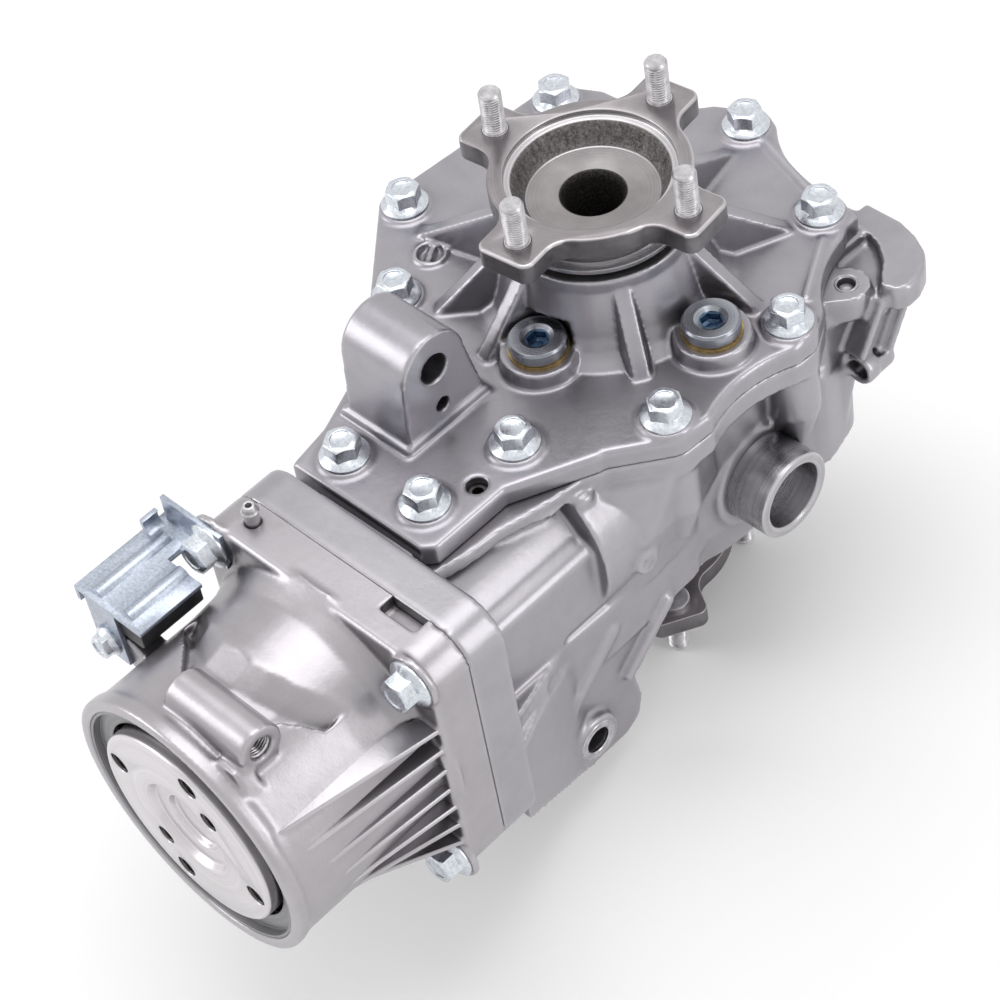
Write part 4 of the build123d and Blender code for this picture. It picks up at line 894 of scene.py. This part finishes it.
def rear_corner():
    shelf = [(50, 112), (69, 112), (80, 109), (89, 104), (95, 97), (98, 89), (98, 82), (95, 77), (88, 75)]
    shelf += [(83, 81), (79, 87), (70, 94.5), (60, 98), (50, 99)]
    under_shelf = [(56, 78), (56, 99), (72, 96), (82, 90), (88, 80), (80, 66), (70, 60)]
    ear = with_hole(
        "ear",
        [plate(hull([(*EAR, 10.5), (62, 56, 12)]), 28, EAR_TOP)],
        plate(circle(*EAR, 4.4), 20, 50),
    )
    beam = [(74, 34), (94, 31), (76, 0), (60, 12)]
    strut_forms = [
        along_x(beam, STRUT_INNER, STRUT_WEB),
        along_x(hull([(68, 0, 5), (76, -2, 4.5)]), STRUT_INNER, STRUT_OUTER),
    ]
    for first, last in ((0, 3), (1, 2)):
        edge = hull([(*beam[first], 1.8), (*beam[last], 1.8)])
        strut_forms.append(along_x(edge, STRUT_INNER, STRUT_OUTER))
    strut = with_hole("strut", strut_forms, along_y(circle(*EYE, 5), 50, 72))
    eye_ring = with_hole("eye", [along_y(circle(*EYE, 7.8), 60, 68)], along_y(circle(*EYE, 5), 50, 80))
    flank = through_levels([
        (30, [(50, 100), (50, 34), (74, 34), (78, 50), (79.5, 66), (67, 83)]),
        (4, [(50, 100), (50, 30), (78, 30), (79.5, 48), (79.5, 72), (67, 89)]),
        (-40, [(50, 80), (50, 32), (74, 32), (82, 46), (79, 58), (62, 76)]),
        (-52, [(50, 70), (50, 36), (66, 36), (72, 46), (70, 54), (56, 66)]),
    ])
    plates = to_object("rear_plates", [
        plate(shelf, 29, EAR_TOP, 2.0),
        plate(under_shelf, 22, 36.5, 2),
        plate(hull([(50, 66, 16), (64, 60, 14), (66, 44, 16)]), -46, 10, 3),
        flank,
    ])
    return [ear, eye_ring, strut, plates]


print("the eye's middle is at", EYE)

# %% [markdown]
# Beside the neck a cheek swells out towards the mount tube, with a round foundry button on it, and a
# shoulder runs over the arm back to the block. A boss stands under the cover's dowel, with a small pillar
# beside it.

# %% Cheek beside the neck
BUTTON = (-68.6, -11.3)


def neck_cheek():
    cheek = through_levels([
        (31, [(60, -88), (66, -80), (84, -52), (86, -44), (74, -20), (60, -20)]),
        (2, [(69.5, -90.5), (74, -87), (81, -67), (81, -44), (76, -20), (69.5, -20)]),
        (-34, [(66, -88), (70, -85), (73, -60), (70, -30), (64, -20), (62, -20)]),
    ])
    dowel_boss = plate(hull([(41, -117, 10), (46, -99, 9)]), 25, 36)
    pillar = plate(circle(61, -85, 6), 22, 36)
    bar = along_x([(-72.9, -13.3), (-65.3, -7.0), (-64.3, -9.3), (-71.9, -15.6)], 74, 80)
    shoulder = plate([(62, -160), (84, -160), (71.5, -114), (72.5, -84), (70, -30), (60, -30)], -60, -28.5, 1)
    dish = along_x(circle(*BUTTON, 4.4), 78.6, 90)
    button = with_hole("button", [along_x(circle(*BUTTON, 6.2), 72, 80.4)], dish)
    return [to_object("neck_forms", [cheek, dowel_boss, pillar, bar, shoulder]), button]


def carrier_forms():
    return rear_corner() + neck_cheek()


print("the button's middle is at", BUTTON)

# %% [markdown]
# A cast rib is wider at its foot than at its crest, so that it leaves the mould. The cover's ribs are plain
# walls in the solid, and a sloping skirt over each gives them that shape. The housing is treated the other
# way round: its fins are carved off here, because the skin would turn them to soft lumps, and drawn crisp
# later.

# %% Skirts for the ribs, and room for the fins
RIBS = ((-163, 92), (-130, 74), (-99, 67), (-33, 62), (23, 70), (60, 84), (97, 94), (143, 105))


def rib_skirts():
    skirts = []
    for degrees, reach in RIBS:
        turn = Matrix.Rotation(math.radians(degrees), 3, "Z")
        rings = []
        for out, foot, height in ((36, 8.5, 84.0), (41.5, 8.2, 84.0), (reach, 4.6, 52.6)):
            section = [(out, -foot, 49), (out, -3.5, height), (out, 3.5, height), (out, foot, 49)]
            rings.append([turn @ Vector(point) for point in section])
        skirts.append(stacked(rings))
    return [to_object("rib_skirts", skirts)]


def fin_room():
    drum = [(INPUT_X + x, z) for x, z in circle(0, 0, DRUM_RADIUS + 0.3, 24, -48, 37)]
    return to_object("fin_room", [along_y(drum + [(110, 37.2), (110, -46)], -282, -207.5)])


print("ribs", len(RIBS))

# %% [markdown]
# The skin itself: every form of a casting is joined into one mesh and wrapped in small even faces. Relaxing
# then moves each point towards the middle of its neighbours and a little less far back. That takes the
# steps out of the skin and rounds its corners, and hardly shrinks it, which smoothing alone would do.

# %% Skin and relaxing
RELAX_IN, RELAX_OUT = 0.55, -0.42


def skin_of(node, face_mm, room, forms):
    obj = welded(node, node + "_casting")
    if room:
        carve(obj, room)
    joined = bmesh.new()
    for piece in [obj] + forms:
        joined.from_mesh(piece.data)
    joined.to_mesh(obj.data)
    joined.free()
    for piece in forms:
        bpy.data.objects.remove(piece)
    remesh = obj.modifiers.new("skin", "REMESH")
    remesh.mode = "VOXEL"
    remesh.voxel_size = face_mm * MM
    remesh.adaptivity = 0.0
    return settle(obj)


def relax(mesh, passes, hold):
    count = len(mesh.vertices)
    points = np.empty(count * 3)
    mesh.vertices.foreach_get("co", points)
    points = points.reshape(-1, 3)
    edges = np.empty(len(mesh.edges) * 2, int)
    mesh.edges.foreach_get("vertices", edges)
    start, end = edges.reshape(-1, 2).T
    degree = np.bincount(start, minlength=count) + np.bincount(end, minlength=count)
    share = hold(points)[:, None]
    for step in range(passes):
        for factor in (RELAX_IN, RELAX_OUT):
            mean = np.empty_like(points)
            for axis in range(3):
                total = np.bincount(start, points[end, axis], count)
                total += np.bincount(end, points[start, axis], count)
                mean[:, axis] = total / degree
            points += (mean - points) * factor * share
    mesh.vertices.foreach_set("co", points.ravel())
    mesh.update()
    mesh.shade_smooth()


print("each pass moves a point", RELAX_IN, "of the way in and", -RELAX_OUT, "back out")

# %% [markdown]
# Where a tool has cut the casting flat, its edges are crisp, and the relaxing is held back. Such zones are
# a band between two heights, what is near an axis, or both: the joint faces, the bolts' spot faces, the
# bores.

# %% Zones that stay crisp
BOLT_SPOT, PLUG_SPOT, TUBE_SPOT, LOWER_SPOT, OUTPUT_BOSS = 11, 14, 22, 12, 42
COVER_SEAM, CARRIER_TOP = (30, 43.2), (40.8, 60)
CARRIER_SEAM, HOUSING_SEAM, DRUM_MOUTH = (-190, -184.5), (-187.5, -180), (-290, -284)
BLOCK_BOLT = 57


def near(points, centre, reach_mm, axis=None):
    """1 inside the reach of a point or of an axis through it, 0 past a fade of 2 mm."""
    gap = points - np.array(centre) * MM
    if axis is not None:
        gap[:, axis] = 0
    distance = np.sqrt((gap ** 2).sum(1)) / MM
    return np.clip(1 - (distance - reach_mm) / 2, 0, 1)


def band(values, low_mm, high_mm, fade_mm=2):
    outside = np.maximum(low_mm - values / MM, values / MM - high_mm)
    return np.clip(1 - outside / fade_mm, 0, 1)


def held(zones):
    """How far each point may relax: nearly not in the zones, and fully elsewhere."""
    return 1 - np.max(zones, axis=0) * 0.93


def hold_cover(points):
    up = points[:, 2]
    zones = [band(up, *COVER_SEAM, 1.5)]
    zones += [near(points, (x, y, 0), BOLT_SPOT, 2) * band(up, 52, 60) for x, y in COVER_BOLTS]
    zones += [near(points, (x, y, 0), PLUG_SPOT, 2) * band(up, 58, 64) for x, y in OIL_PLUGS.values()]
    zones.append(near(points, (0, 0, 0), OUTPUT_BOSS, 2) * band(up, 84, 95))
    zones += [near(points, (0, *LUG_BORE), 9, 0), near(points, (0, *LUG_PIN_HOLE), 5, 0)]
    zones.append(near(points, (*COVER_MARK, COVER_FACE), 9))
    return held(zones)


def hold_carrier(points):
    across, along, up = points.T
    return held([
        band(up, *CARRIER_TOP, 1.2),
        band(along, *CARRIER_SEAM, 1.2),
        near(points, (0, TUBE_Y, TUBE_Z), TUBE_SPOT, 0) * band(across, 70, 100),
        near(points, (LOWER_BOSS_FACE, *LOWER_BOLT), LOWER_SPOT) * band(across, 72, 80),
        near(points, (0, 0, 0), OUTPUT_BOSS, 2) * band(up, -95, -84),
    ])


def hold_housing(points):
    along = points[:, 1]
    zones = [band(along, *HOUSING_SEAM, 1.2), band(along, *DRUM_MOUTH)]
    for x in (INPUT_X - BLOCK_BOLT, INPUT_X + BLOCK_BOLT):
        for z in (-BLOCK_BOLT, BLOCK_BOLT):
            zones.append(near(points, (x, 0, z), BOLT_SPOT, 1) * band(along, -210, -205))
    return held(zones)


print("at the middle of a zone a point keeps", round(float(held([np.ones(1)])[0]), 2), "of its relaxing")

# %% [markdown]
# Now the three castings. The size of the skin's faces is a balance: small ones follow thin walls and take
# long, and large ones lose them. The cover has the finest ribs and marks, so its faces are the smallest.

# %% Cast skins
CASTINGS = [
    ("side_cover", COVER_CAST, 0.95, 10, hold_cover, None, rib_skirts),
    ("differential_carrier", CARRIER_CAST, 1.3, 8, hold_carrier, carrier_room, carrier_forms),
    ("coupling_housing", HOUSING_CAST, 1.0, 8, hold_housing, fin_room, None),
]
for node, material, face_mm, passes, hold, room, forms in CASTINGS:
    skin = skin_of(node, face_mm, room() if room else None, forms() if forms else [])
    relax(skin.data, passes, hold)
    dress(skin, node, material)
    print(node, "skin faces", len(skin.data.polygons))

# %% [markdown]
# The cooling fins beside the drum are the thinnest walls of the casting, thinner than the skin's small
# faces can follow. They are drawn as plates with a narrow crest and sloping sides. Each starts a little
# nearer the block than the one above it and leans out from the drum's round wall to the block's flat side.

# %% Cooling fins
FIN_COUNT, FIN_SPACING, TOP_FIN = 7, 12.4, 32.3
FIN_START, FIN_STAGGER = 279, 5
FIN_INNER, BLOCK_SIDE, BLOCK_FACE = 40, 66.2, 204.5


def fin_forms():
    forms = []
    for i in range(FIN_COUNT):
        height, start = TOP_FIN - FIN_SPACING * i, FIN_START - FIN_STAGGER * i
        surface = math.sqrt(DRUM_RADIUS ** 2 - height ** 2) - 0.3
        rings = []
        for half, drawn in ((-2.2, 14.0), (-1.2, 0.5), (-0.8, 0.0), (0.8, 0.0), (1.2, 0.5), (2.2, 14.0)):
            crest = [(FIN_INNER, start), (surface - drawn, start)]
            crest += [(BLOCK_SIDE - drawn, BLOCK_FACE), (FIN_INNER, BLOCK_FACE)]
            rings.append([(INPUT_X + x, -y, height + half) for x, y in crest])
        forms.append(stacked(rings))
    return forms


fins = to_object("drum_fins", fin_forms())
soften = fins.modifiers.new("bevel", "BEVEL")
soften.width = 0.15 * MM
soften.segments = 2
smooth(settle(fins).data, 24)
dress(fins, "coupling_housing", HOUSING_CAST, instead=False)
print("fins", FIN_COUNT, "faces", len(fins.data.polygons))

# %% [markdown]
# The studio has three broad lamps. They are large, because the size of a lamp sets how soft its highlight
# is on metal: one above, one from the input side, and a narrow one on the mount tube's side that draws
# bright lines along the edges.

# %% Lamps
def lamp(name, offset, size, watts):
    data = bpy.data.lights.new(name, "AREA")
    data.shape = "RECTANGLE"
    data.size, data.size_y = size
    data.energy = watts
    obj = put(name, data)
    obj.location = middle + Vector(offset)
    obj.rotation_euler = (-Vector(offset)).to_track_quat("-Z", "Y").to_euler()


middle = Vector((0.0, -0.09, 0.0))
lamp("overhead_softbox", (-0.1, 0.2, 1.5), (1.3, 1.0), 9)
lamp("left_softbox", (-1.1, -1.0, 0.8), (0.9, 0.9), 7)
lamp("right_strip", (1.4, 0.5, 0.6), (0.35, 1.2), 4)
print("lamps", len(bpy.data.lights))

# %% [markdown]
# Under the unit lies a white floor that keeps a soft shadow. The surround is white too. It is at full
# strength for the camera and for reflections, and a little weaker as light, so that the shadow stays
# visible.

# %% Floor and surround
half, height = 6.0, solid_box[0][2] - 0.001
corners = [(-half, -half, height), (half, -half, height), (half, half, height), (-half, half, height)]
floor_mesh = bpy.data.meshes.new("floor")
floor_mesh.from_pydata(corners, [], [(0, 1, 2, 3)])
floor = put("floor", floor_mesh)
floor_finish = Finish("studio_floor", Roughness=0.9)
tones = [(tone, tone, tone, 1) for tone in (0.95, 0.97)]
floor_finish.feed("Base Color", floor_finish.mix(floor_finish.noise(400.0), *tones))
floor_mesh.materials.append(floor_finish.material)

world = bpy.data.worlds.new("surround")
bpy.context.scene.world = world
world.use_nodes = True
surround = Nodes(world.node_tree, "Background")
camera_ray = surround.node("ShaderNodeLightPath", out="Is Camera Ray")
glossy_ray = Signal(surround, camera_ray.socket.node.outputs["Is Glossy Ray"])
surround.feed("Strength", camera_ray.math("MAXIMUM", glossy_ray) * 0.25 + 0.75)
surround.shader.inputs["Color"].default_value = (1, 1, 1, 1)
bpy.context.scene.view_settings.view_transform = "Standard"
print("floor at", round(height, 4))

# %% [markdown]
